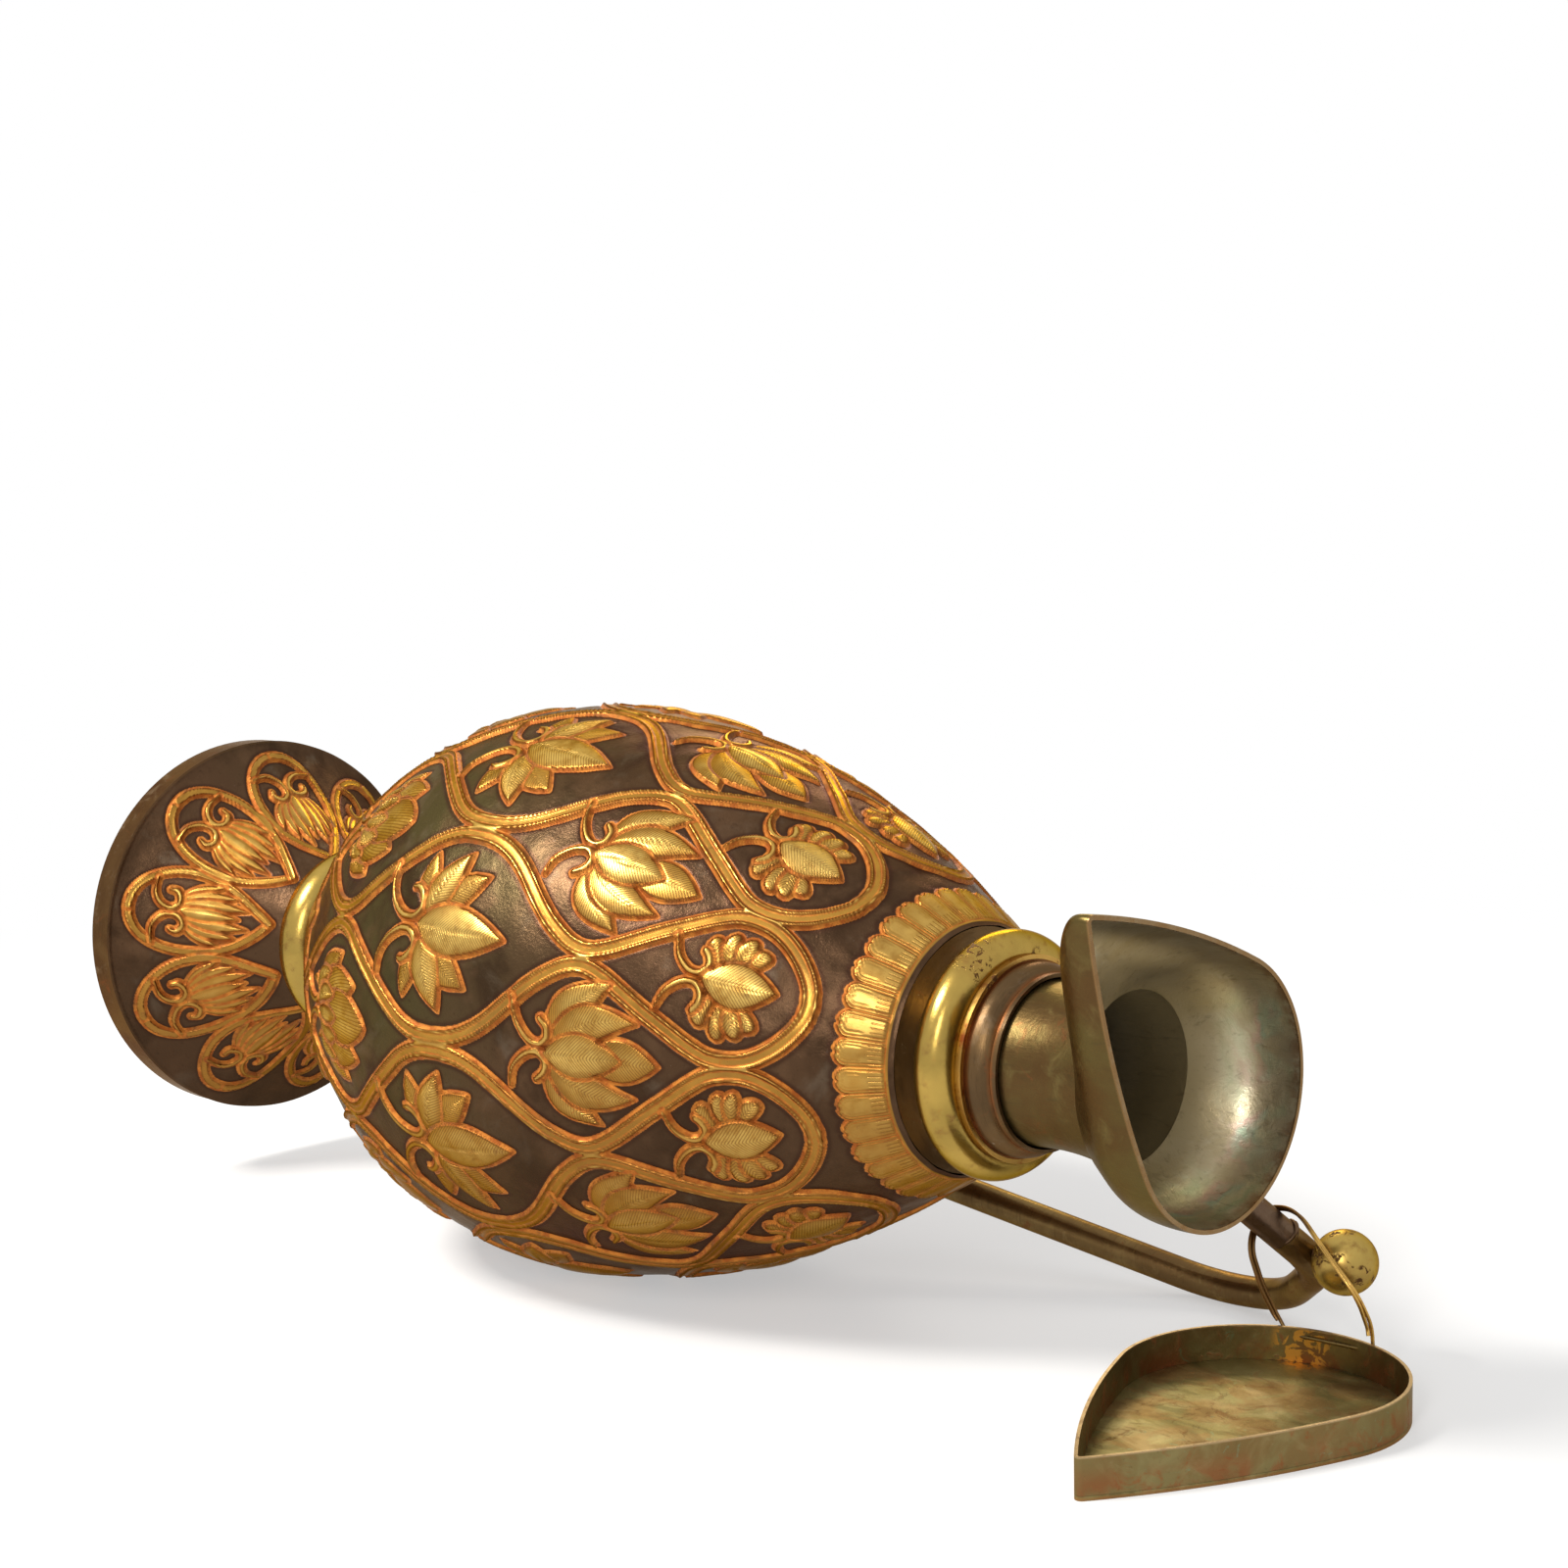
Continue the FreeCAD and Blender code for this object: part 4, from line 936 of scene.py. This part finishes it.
def chased_finish(name, colours, toward_foot, toward_mouth):
    """Tarnished silver with gilt relief and residue along its edges; its high places are paler, partly rubbed
    gilding and partly painted highlight, its sides darker, partly residue and partly painted shade, and it is
    painted darker low down towards the floor as shade.

    The ground turns from olive to purple-brown between the two heights."""
    f = Finish(name)
    gilt, edge, shade, slope = f.mark("gilt"), f.mark("edge"), f.mark("shade"), f.mark("slope")
    vein, veined, raised = f.mark("vein"), f.mark("veined"), f.mark("raised")
    large, middle, fine = f.noise(38, 3), f.noise(9, 4, 0.6), f.noise(1.6, 5, 0.65)
    grain, specks = f.noise(0.5, 3, 0.6), f.noise(0.9, 4, 0.7)
    tarnish = colour(colours, "tarnish")
    dark = brighter(tarnish, 0.42)
    shift = axial(f) + (large - 0.5) * 90.0
    ground = f.blend(shift.between(toward_foot, toward_mouth), colour(colours, "olive"), tarnish)
    ground = f.blend(f.noise(26, 4, 0.6, warp=0.5).between(0.46, 0.66) * 0.75, ground, dark)
    ground = f.blend(middle.between(0.46, 0.70) * 0.45, ground, brighter(tarnish, 1.6))
    # Pale hazy patches on the ground: partly bloom on the tarnish, partly painted highlight
    haze_and_highlight = f.noise(15, 5, 0.62, warp=0.6).between(0.54, 0.74)
    ground = f.blend(haze_and_highlight * 0.42, ground, colour(colours, "bloom_and_highlight"))
    ground = f.blend(fine.between(0.56, 0.78) * 0.55, ground, dark)
    smudge = f.noise(4.5, 5, 0.72, warp=1.4).between(0.68, 0.76)
    ground = f.blend(smudge * haze_and_highlight.larger(0.30) * 0.7, ground, (0.46, 0.41, 0.36))
    dust = specks.between(0.71, 0.79)
    ground = f.blend(dust * 0.5, ground, (0.40, 0.33, 0.26))
    ground = f.blend((shade * (1.0 - gilt) * 0.8).clamp(), ground, (0.042, 0.018, 0.011))
    rich = colour(colours, "gilding")
    gold = f.blend(f.noise(9, 4).between(0.35, 0.68), rich, brighter(rich, 0.68))
    gold = f.blend(f.noise(24, 3).between(0.45, 0.64) * 0.60, gold, (0.30, 0.155, 0.036))
    # Painted light and shade on the relief: high places paler, partly rubbed gilding and partly painted
    # highlight; sides darker, partly residue and partly painted shade
    sides = slope.between(0.16, 0.72)
    high = raised.between(0.50, 1.15) * (1.0 - sides) * f.noise(3.4, 3).between(0.20, 0.62)
    gold = f.blend(high * 0.80, gold, colour(colours, "pale_gilding"))
    gold = f.blend((sides * (0.50 + middle * 0.8)).clamp(), gold, (0.19, 0.066, 0.014))
    # Painted shade: the gold and the ground are darker low down towards the floor, where less light falls
    below = (f.along(2) + (large - 0.5) * 60.0).between(96.0, 20.0)
    gold = f.blend(below * 0.72, gold, (0.205, 0.088, 0.018))
    ground = f.blend(below * 0.50, ground, dark)
    flecks = f.noise(2.0, 5, 0.75, warp=1.2).between(0.62, 0.68)
    gold = f.blend(flecks * 0.55, gold, brighter(colour(colours, "ochre"), 1.1))
    worn = f.noise(4.2, 5, 0.7, warp=0.6).between(0.60, 0.70)
    gold = f.blend(worn * 0.55, gold, (0.16, 0.078, 0.028))
    tint = f.blend(gilt.between(0.35, 0.75), ground, gold)
    residue = (edge * (0.55 + fine * 1.30)).between(0.26, 0.60)
    ochre = f.blend(f.noise(2.5, 3).between(0.38, 0.62), colour(colours, "ochre"), (0.52, 0.185, 0.030))
    ochre = f.blend(f.noise(5, 4).between(0.52, 0.70) * 0.7, ochre, (0.085, 0.026, 0.013))
    tint = f.blend(residue * 0.92, tint, ochre)
    lines = (vein * (2 * math.pi / 0.78) + fine * 1.6).sine().between(0.10, 0.95) * veined
    tint = f.blend(lines * 0.62, tint, (0.20, 0.085, 0.022))
    metallic = (gilt * 0.15 + 0.80 - residue * 0.50 - dust * 0.3).clamp()
    rough = (0.32 - gilt * 0.03 + residue * 0.22 + (fine - 0.5) * 0.14 + smudge * 0.12 + haze_and_highlight * 0.05).clamp()
    pitted = (grain - 0.5) * 0.20 + (specks - 0.5) * 0.45 + (fine - 0.5) * 0.40
    relief = pitted * (1.0 - gilt * 0.95) - lines * 0.40 - residue * fine * 0.3
    return f.metal(tint, metallic, rough, relief, 0.18, DARK_SHEEN)


def gilding_finish(name, colours, base, dark, worn_share, rough_level, cluster=9.0, bare=0.62):
    """Polished gilding with worn brown places, clustered pits and a fine brushed grain."""
    f = Finish(name)
    broad, middle, fine = f.noise(14, 4), f.noise(4, 4, 0.6), f.noise(1.1, 5, 0.65)
    tint = f.blend(broad.between(0.35, 0.7), base, brighter(base, 1.30))
    tint = f.blend(middle.between(0.54, 0.74) * worn_share, tint, dark)
    spread = f.noise(cluster, 3, 0.5)
    pits = f.noise(1.9, 4, 0.65, warp=0.6).between(0.53, 0.58) * spread.between(bare, bare + 0.08)
    halo = spread.between(bare - 0.06, bare + 0.10) * middle
    tint = f.blend(halo * 0.5, tint, (0.30, 0.15, 0.040))
    tint = f.blend(pits * 0.92, tint, (0.075, 0.028, 0.011))
    tint = f.blend(fine.between(0.58, 0.72) * 0.35 * worn_share, tint, colour(colours, "ochre"))
    metallic = (0.97 - pits * 0.5).clamp()
    rough = (rough_level + (middle - 0.5) * 0.14 + pits * 0.30 + (fine - 0.5) * 0.08).clamp()
    relief = (fine - 0.5) * 0.22 + (middle - 0.5) * 0.5 - pits * 0.7
    return f.metal(tint, metallic, rough, relief, 0.10, DARK_SHEEN)


def dark_finish(name, colours, base, warm, lines=(), bright=(0.30, 0.22, 0.15), metallic=0.85):
    """Plain tarnished silver, hazy, streaked round the axis and stained, with residue at some heights."""
    f = Finish(name)
    broad, middle, fine = f.noise(17, 4, warp=0.4), f.noise(5, 5, 0.62, warp=0.6), f.noise(1.2, 5, 0.65)
    tint = f.blend(broad.between(0.36, 0.66), base, warm)
    # Paler patches of tarnish, partly painted glints
    tint = f.blend(middle.between(0.54, 0.78) * 0.55, tint, bright)
    streaks = f.noise(0.9, 4, 0.6, scale=(2.4, 0.15, 0.15))
    tint = f.blend(streaks.between(0.52, 0.78) * 0.45, tint, brighter(base, 0.38))
    stain = f.noise(7, 6, 0.72, warp=1.2).between(0.57, 0.70)
    tint = f.blend(stain * 0.60, tint, (0.17, 0.058, 0.022))
    glint = f.noise(2.2, 5, 0.75, warp=1.0).between(0.68, 0.74)
    tint = f.blend(glint * 0.55, tint, (0.50, 0.42, 0.34))
    tint = f.blend(fine.between(0.60, 0.78) * 0.5, tint, (0.030, 0.015, 0.009))
    if lines:
        height = axial(f)
        residue = 0.0
        for level, width in lines:
            residue = 1.0 - (height - level).size().between(0.0, width) + residue
        residue = (residue * (middle * 2.2 - 0.45)).clamp()
        tint = f.blend(residue * 0.55, tint, colour(colours, "ochre"))
    rough = (0.33 + (middle - 0.5) * 0.26 + (streaks - 0.5) * 0.12 + stain * 0.10).clamp()
    relief = (fine - 0.5) * 0.40 + (streaks - 0.5) * 0.35 + (middle - 0.5) * 0.7
    return f.metal(tint, metallic, rough, relief, 0.10, DARK_SHEEN)


def mouth_finish(name):
    """Neck and mouth: olive-brown outside, and inside khaki tarnish with a pearly green and pink band.

    The rim is at a height of 329 mm, the bowl runs down to 304 and the throat starts below 300."""
    f = Finish(name)
    height = axial(f)
    broad, middle, fine = f.noise(20, 4, warp=0.4), f.noise(6, 5, 0.62, warp=0.8), f.noise(1.1, 5, 0.65)
    outside = f.blend(broad.between(0.34, 0.66), (0.104, 0.076, 0.025), (0.092, 0.050, 0.018))
    outside = f.blend(middle.between(0.50, 0.74) * 0.5, outside, (0.175, 0.135, 0.048))
    rust = f.noise(9, 6, 0.7, warp=1.2).between(0.54, 0.68) * height.between(322.0, 292.0)
    outside = f.blend(rust * 0.70, outside, (0.15, 0.056, 0.020))
    inside = f.blend(broad.between(0.32, 0.68), (0.52, 0.45, 0.31), (0.41, 0.335, 0.200))
    inside = f.blend(middle.between(0.52, 0.78) * 0.45, inside, (0.58, 0.53, 0.40))
    bore = height.between(316.0, 304.0) - height.between(300.0, 288.0) * 0.75
    # Painted shade: the inside is darker down the bowl towards the throat
    inside = f.blend(height.between(320.5, 307.0) * 0.92, inside, (0.175, 0.132, 0.062))
    handle_side = (f.along(1) - AXIS_Y) * math.cos(ROLL) - (f.along(2) - AXIS_Z) * math.sin(ROLL)
    # Painted light and shade in the throat: lighter on the handle side, darker on the other
    throat = f.blend(handle_side.between(-8.0, 8.0), (0.21, 0.165, 0.090), (0.44, 0.36, 0.22))
    inside = f.blend(height.between(300.0, 288.0), inside, throat)
    ripple = height + broad * 26.0 + middle * 5.0
    pearl = f.noise(15, 3, 0.5, warp=0.8).between(0.40, 0.58) * height.between(311.0, 319.0)
    pearl = pearl * handle_side.between(-2.0, 14.0) * height.between(328.6, 326.0)
    hues = [(0.0, (0.40, 0.52, 0.32)), (0.25, (0.66, 0.62, 0.44)), (0.45, (0.66, 0.43, 0.38)),
            (0.62, (0.38, 0.56, 0.44)), (0.80, (0.66, 0.64, 0.42)), (1.0, (0.40, 0.52, 0.32))]
    film = f.node("ShaderNodeValToRGB", {"stops": hues}, {0: (ripple / 11.0).rest()})
    inside = f.blend(pearl * 0.62, inside, film)
    edge_stain = height.between(325.0, 329.2) * f.noise(4, 4, 0.6).between(0.40, 0.60)
    inside = f.blend(edge_stain * 0.7, inside, (0.24, 0.10, 0.040))
    tint = f.blend(outwardness(f).between(-0.15, 0.15), inside, outside)
    streaks = f.noise(1.2, 4, 0.6, scale=(0.16, 1.0, 1.0), warp=0.4)
    tint = f.blend(streaks.between(0.54, 0.78) * 0.40, tint, (0.060, 0.045, 0.020))
    flecks = f.noise(2.4, 6, 0.8, warp=1.5).between(0.68, 0.73)
    tint = f.blend(flecks * 0.35, tint, (0.50, 0.43, 0.34))
    rim = height.between(328.6, 329.1)
    tint = f.blend((rim * (0.35 + middle * 0.8)).clamp(), tint, (0.24, 0.135, 0.055))
    rough = (0.34 + (middle - 0.5) * 0.26 + (fine - 0.5) * 0.12 - rim * 0.05).clamp()
    relief = (fine - 0.5) * 0.35 + (streaks - 0.5) * 0.35 + (middle - 0.5) * 0.9
    metallic = 0.86 - bore * outwardness(f).between(0.15, -0.15) * 0.62
    return f.metal(tint, metallic, rough, relief, 0.12, PALE_SHEEN)


def lid_finish(name, base, warm, stain_share, swirls, dullness):
    """The lid: khaki-brown tarnish with orange and reddish stains, gold leaf, scratches and a pale rim."""
    f = Finish(name)
    broad, middle, fine = f.noise(13, 4, warp=0.9), f.noise(4.5, 5, 0.65, warp=0.9), f.noise(1.0, 5, 0.65)
    tint = f.blend(broad.between(0.38, 0.62), base, warm)
    swirl = f.noise(12, 4, 0.55, scale=(0.6, 1.3, 1.0), turn=(0, 0, 0.6), warp=1.3)
    # Lighter and darker swirls; the lighter swirls are painted reflections
    tint = f.blend(swirl.between(0.52, 0.68) * 0.55 * swirls, tint, (0.36, 0.30, 0.135))
    tint = f.blend(swirl.between(0.48, 0.34) * 0.60 * swirls, tint, (0.095, 0.082, 0.030))
    tint = f.blend(middle.between(0.54, 0.78) * 0.4, tint, (0.30, 0.245, 0.11))
    stain = f.noise(8, 6, 0.72, warp=1.4).between(0.52, 0.66)
    tint = f.blend(stain * stain_share, tint, (0.27, 0.085, 0.028))
    low = f.noise(12, 4, 0.6, warp=0.8).between(0.44, 0.58) * f.along(2).between(7.4, 1.5)
    tint = f.blend(low * stain_share, tint, (0.24, 0.070, 0.026))
    tint = f.blend(f.noise(5, 6, 0.7, warp=1.8).between(0.62, 0.69) * 0.7, tint, (0.17, 0.215, 0.115))
    flecks = f.noise(2.8, 6, 0.8, warp=1.0).between(0.66, 0.71)
    tint = f.blend(flecks * 0.8, tint, (0.52, 0.32, 0.10))
    far = f.vector("DISTANCE", f.place(), LEAF_SPOT, output=1)
    leaf = far.between(7.5, 4.5) * f.noise(3.0, 4, 0.6, warp=0.8).between(0.49, 0.53)
    tint = f.blend(leaf * 0.95, tint, (0.60, 0.31, 0.06))
    rim = f.along(2).between(7.9, 8.15)
    tint = f.blend(rim * (0.35 + middle * 0.8).clamp(), tint, (0.40, 0.28, 0.15))
    foot = f.along(2).between(0.9, 0.3)
    tint = f.blend(foot * (middle * 1.5).clamp() * 0.8, tint, (0.30, 0.13, 0.04))
    tint = f.blend(fine.between(0.60, 0.78) * 0.4, tint, (0.035, 0.024, 0.010))
    rough = (dullness + (middle - 0.5) * 0.26 + stain * 0.16).clamp()
    relief = (fine - 0.5) * 0.40 + (swirl - 0.5) * 1.2 + stain * 0.3 + (middle - 0.5) * 0.4
    return f.metal(tint, 0.84, rough, relief, 0.12, PALE_SHEEN)


def wire_finish(name, colours, arm_spot):
    """The link's wire: gilt on one leg, and rubbed down to brown metal on the leg nearer the foot."""
    f = Finish(name)
    middle, fine = f.noise(4, 4, 0.6), f.noise(1.1, 5, 0.65)
    base = (0.46, 0.28, 0.075)
    tint = f.blend(middle.between(0.35, 0.7), base, brighter(base, 1.35))
    side = (f.along(0) - arm_spot[0]) * 0.7 + (f.along(1) - arm_spot[1]) * 0.7
    brown = (side + (middle - 0.5) * 5.0).between(0.6, -1.8)
    tint = f.blend(brown * 0.85, tint, (0.125, 0.060, 0.026))
    tint = f.blend(middle.between(0.58, 0.70) * 0.5, tint, (0.20, 0.080, 0.030))
    tint = f.blend(fine.between(0.58, 0.72) * 0.30, tint, colour(colours, "ochre"))
    tint = f.blend(f.along(2).between(9.5, 7.4) * 0.85, tint, (0.17, 0.125, 0.055))
    rough = (0.28 + (middle - 0.5) * 0.16 + brown * 0.08).clamp()
    relief = (fine - 0.5) * 0.3 + (middle - 0.5) * 0.4
    return f.metal(tint, 0.93, rough, relief, 0.06, DARK_SHEEN)


def floor_finish():
    """A matte white floor, which turns pure white away from the object for the camera, gloss and glass."""
    f = Finish("floor_white")
    away = f.vector("LENGTH", f.node("ShaderNodeNewGeometry", output=0), output=1)
    matte = f.node("ShaderNodeBsdfDiffuse", None, {"Color": (0.93, 0.93, 0.93)})
    glow = f.node("ShaderNodeEmission", None, {"Color": WHITE, "Strength": 1.0})
    share = f.seen() * (0.45 + away.between(0.24, 0.62) * 0.55)
    f.close(f.node("ShaderNodeMixShader", None, {0: share, 1: matte, 2: glow}))
    return f.owner


def sky_finish(stage):
    """An even sky that lights the object, and shows white to the camera, gloss and glass."""
    f = Finish("studio", "worlds")
    even = f.node("ShaderNodeBackground", None, {"Color": WHITE, "Strength": stage.sky})
    plain = f.node("ShaderNodeBackground", None, {"Color": WHITE, "Strength": 1.0})
    f.close(f.node("ShaderNodeMixShader", None, {0: f.seen(), 1: even, 2: plain}), "ShaderNodeOutputWorld")
    bpy.context.scene.world = f.owner


# Pieces

def add_tube(name, points, radii, finish, sides):
    """A round tube along a smooth line of points in mm, closed at both ends."""
    path = smooth_line(points, 10)
    wide = smooth_line(radii[:, None], 10)[:, 0]
    ahead = unit_of(np.gradient(path, axis=0))
    side = np.cross(ahead[0], [0.3, 0.2, 1.0])
    turn = np.arange(sides) * (2 * math.pi / sides)
    rings = []
    for spot, forward, radius in zip(path, ahead, wide):
        side = unit_of(side - forward * (side @ forward))
        other = np.cross(forward, side)
        rings.append(spot + radius * (np.cos(turn)[:, None] * side + np.sin(turn)[:, None] * other))
    first = np.repeat(path[:1] - ahead[:1] * wide[0] * 0.4, sides, 0)
    last = np.repeat(path[-1:] + ahead[-1:] * wide[-1] * 0.4, sides, 0)
    corners = np.concatenate([first, *rings, last]) * MM
    piece = mesh_of(name, corners, grid_faces(len(rings) + 2, sides, wrap=True))
    piece.data.materials.append(finish)
    return piece


def paint(node, finish):
    """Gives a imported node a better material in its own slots."""
    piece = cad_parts[node]
    if not piece.material_slots:
        piece.data.materials.append(finish)
    for slot in piece.material_slots:
        slot.material = finish


class EWER_OT_body(bpy.types.Operator):
    """Builds the chased body with its vines, flowers and collar, and its plain lining"""
    bl_idname = "ewer.body"
    bl_label = "Chased body"

    def execute(self, context):
        sizes, chasing = context.scene.ewer_sizes, context.scene.ewer_chasing
        colours = context.scene.ewer_colours
        finish = chased_finish("body_chased", colours, 120.0, 215.0)
        shells = chased_shells(chase_body(sizes, chasing), sizes, "body_relief", chasing.vines, finish)
        plain = dark_finish("body_inside", colours, (0.13, 0.095, 0.055), (0.10, 0.075, 0.035))
        inside = lining_outline(body_outline(sizes), sizes.body_wall)
        for piece in (*shells, turned_skin("body_lining", sizes, inside, plain)):
            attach(piece, "ewer")
            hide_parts("body_shell")
        return {"FINISHED"}


class EWER_OT_foot(bpy.types.Operator):
    """Builds the chased foot with its ovals and buds, and finishes its band and ring"""
    bl_idname = "ewer.foot"
    bl_label = "Chased foot"

    def execute(self, context):
        sizes, chasing = context.scene.ewer_sizes, context.scene.ewer_chasing
        colours = context.scene.ewer_colours
        finish = chased_finish("foot_chased", colours, -60.0, 10.0)
        shells = chased_shells(chase_foot(sizes, chasing), sizes, "foot_relief", 3, finish)
        plain = dark_finish("foot_inside", colours, (0.12, 0.072, 0.040), (0.16, 0.094, 0.042))
        inside = lining_outline(foot_outline(sizes), sizes.foot_wall)
        for piece in (*shells, turned_skin("foot_lining", sizes, inside, plain)):
            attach(piece, "ewer")
            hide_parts("foot_dome")
        band = dark_finish("foot_band_brown", colours, (0.080, 0.042, 0.020), (0.120, 0.068, 0.030))
        paint("foot_band", band)
        ring = gilding_finish("ring_gilding", colours, RING_GOLD, (0.18, 0.09, 0.03), 0.6, 0.25, 16.0)
        paint("foot_ring", ring)
        return {"FINISHED"}


class EWER_OT_neck(bpy.types.Operator):
    """Finishes the neck's mouldings, its gilt ring and fillet, its waisted tube and the mouth"""
    bl_idname = "ewer.neck"
    bl_label = "Neck and mouth"

    def execute(self, context):
        colours = context.scene.ewer_colours
        brown = dark_finish("neck_brown", colours, (0.088, 0.053, 0.025), (0.140, 0.082, 0.034),
                            lines=NECK_GROOVES, bright=(0.19, 0.135, 0.085), metallic=0.75)
        paint("neck_base", brown)
        ring = gilding_finish("neck_ring_gilding", colours, RING_GOLD, (0.20, 0.085, 0.03), 0.6, 0.24, 18.0)
        paint("neck_ring", ring)
        gold, dark = (0.42, 0.25, 0.066), (0.22, 0.055, 0.02)
        paint("neck_fillet", gilding_finish("fillet_gilding", colours, gold, dark, 0.9, 0.30))
        mouth = mouth_finish("mouth_olive")
        paint("neck_tube", mouth)
        paint("mouth_bowl", mouth)
        return {"FINISHED"}


class EWER_OT_handle(bpy.types.Operator):
    """Finishes the handle's arm with its folds of metal, its bent bar and the gilt ball"""
    bl_idname = "ewer.handle"
    bl_label = "Handle"

    def execute(self, context):
        colours = context.scene.ewer_colours
        paint("handle_arm", dark_finish("arm_brown", colours, (0.110, 0.066, 0.042), (0.150, 0.096, 0.060)))
        bar = dark_finish("bar_brown", colours, (0.135, 0.078, 0.030), (0.215, 0.140, 0.052),
                          bright=(0.34, 0.235, 0.095))
        paint("handle_bar", bar)
        gold, dark = (0.37, 0.255, 0.068), (0.20, 0.095, 0.030)
        paint("thumb_ball", gilding_finish("ball_gilding", colours, gold, dark, 0.7, 0.34, 7.5, 0.43))
        axis = np.array(ARM_AXIS)
        side = unit_of(np.cross(axis, [0.0, 0.0, 1.0]))
        over = np.cross(side, axis)
        hand = np.random.default_rng(5)
        finish = dark_finish("fold_brown", colours, (0.080, 0.046, 0.030), (0.150, 0.090, 0.050))
        for number, (start, stop, shift) in enumerate(ARM_FOLDS):
            turns = np.radians(np.linspace(start, stop, 9))[:, None]
            wander = (shift + 0.22 * hand.normal(0, 1, 9))[:, None]
            line = ARM_FOLD + axis * wander + ARM_RADIUS * (np.cos(turns) * side + np.sin(turns) * over)
            thick = 0.10 + 0.38 * np.sin(np.linspace(0, math.pi, 9))
            fold = add_tube(f"arm_fold_{number + 1}", line, thick, finish, 12)
            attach(fold, "ewer")
        return {"FINISHED"}


class EWER_OT_lid(bpy.types.Operator):
    """Finishes the lid's plate and wall and the wire link"""
    bl_idname = "ewer.lid"
    bl_label = "Lid and link"

    def execute(self, context):
        plate = lid_finish("lid_olive", (0.235, 0.198, 0.080), (0.190, 0.150, 0.054), 0.26, 1.0, 0.47)
        paint("lid_plate", plate)
        wall = lid_finish("lid_khaki", (0.195, 0.155, 0.062), (0.180, 0.118, 0.044), 0.58, 0.3, 0.39)
        paint("lid_wall", wall)
        low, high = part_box("link_first_turn")
        middle = [(a + b) / 2 / MM for a, b in zip(low, high)]
        wire = wire_finish("wire_gilding", context.scene.ewer_colours, middle)
        paint("link_first_turn", wire)
        paint("link_second_turn", wire)
        return {"FINISHED"}


def area_lamp(name, place, aim, size, power, tint):
    """A rectangular lamp at a place in metres, turned to its aim."""
    lamp = bpy.data.lights.new(name, "AREA")
    lamp.shape = "RECTANGLE"
    lamp.size, lamp.size_y = size
    lamp.energy = power
    lamp.color = tint
    holder = bpy.data.objects.new(name, lamp)
    holder.location = place
    holder.rotation_euler = (Vector(aim) - Vector(place)).to_track_quat("-Z", "Y").to_euler()
    bpy.context.scene.collection.objects.link(holder)


class EWER_OT_stage(bpy.types.Operator):
    """Sets the white floor, the lamps, the sky and the camera"""
    bl_idname = "ewer.stage"
    bl_label = "Stage"

    def execute(self, context):
        stage = context.scene.ewer_stage
        half = stage.floor_size / 2
        corners = np.array([(-half, -half, 0), (half, -half, 0), (half, half, 0), (-half, half, 0)])
        floor = mesh_of("floor", corners, np.array([[0, 1, 2, 3]]))
        floor.data.materials.append(floor_finish())
        sky_finish(stage)
        area_lamp("key", (-0.30, -0.62, 0.85), (-0.02, 0, 0.05), (0.30, 0.24), 12.5, (1.0, 0.97, 0.92))
        area_lamp("window", (0.45, -0.90, 0.55), (0.0, 0, 0.05), (0.16, 0.40), 3.2, (1.0, 0.98, 0.95))
        area_lamp("back", (-0.55, 0.75, 0.60), (0, 0, 0.06), (0.40, 0.25), 3.0, (1.0, 0.95, 0.88))
        place_camera(stage)
        context.scene.view_settings.view_transform = "Standard"
        return {"FINISHED"}


def place_camera(stage):
    """The camera at the photograph's viewpoint, with a small shift up."""
    camera = bpy.data.cameras.new("camera")
    camera.sensor_width = 36.0
    camera.lens = stage.lens
    camera.shift_y = CAMERA_SHIFT
    camera.clip_start, camera.clip_end = 0.01, 20.0
    holder = bpy.data.objects.new("camera", camera)
    bpy.context.scene.collection.objects.link(holder)
    ahead = Vector(CAMERA_AHEAD).normalized()
    right = Vector(CAMERA_RIGHT)
    right = (right - ahead * right.dot(ahead)).normalized()
    turn = Matrix((right, right.cross(ahead), -ahead)).transposed().to_4x4()
    holder.matrix_world = Matrix.Translation(Vector(CAMERA_SPOT) * MM) @ turn
    bpy.context.scene.camera = holder


class EWER_PT_parts(bpy.types.Panel):
    """Lists the ewer's pieces in the sidebar"""
    bl_label = "Ewer"
    bl_idname = "EWER_PT_parts"
    bl_space_type = "VIEW_3D"
    bl_region_type = "UI"
    bl_category = "Ewer"

    def draw(self, context):
        for operator in STEPS:
            self.layout.operator(operator.bl_idname)
        for group in ("ewer_sizes", "ewer_chasing", "ewer_colours", "ewer_stage"):
            values = getattr(context.scene, group)
            box = self.layout.box()
            for name in values.__annotations__:
                box.prop(values, name)


STEPS = (EWER_OT_body, EWER_OT_foot, EWER_OT_neck, EWER_OT_handle, EWER_OT_lid, EWER_OT_stage)
GROUPS = {"ewer_sizes": EwerSizes, "ewer_chasing": EwerChasing,
          "ewer_colours": EwerColours, "ewer_stage": EwerStage}


def register():
    for group in GROUPS.values():
        bpy.utils.register_class(group)
    for name, group in GROUPS.items():
        setattr(bpy.types.Scene, name, bpy.props.PointerProperty(type=group))
    for kind in (*STEPS, EWER_PT_parts):
        bpy.utils.register_class(kind)


def unregister():
    for kind in reversed((*STEPS, EWER_PT_parts)):
        bpy.utils.unregister_class(kind)
    for name in GROUPS:
        delattr(bpy.types.Scene, name)
    for group in reversed(GROUPS.values()):
        bpy.utils.unregister_class(group)


def main():
    register()
    bpy.ops.ewer.stage()
    bpy.ops.ewer.body()
    bpy.ops.ewer.foot()
    bpy.ops.ewer.neck()
    bpy.ops.ewer.handle()
    bpy.ops.ewer.lid()


if __name__ == "__main__":
    main()
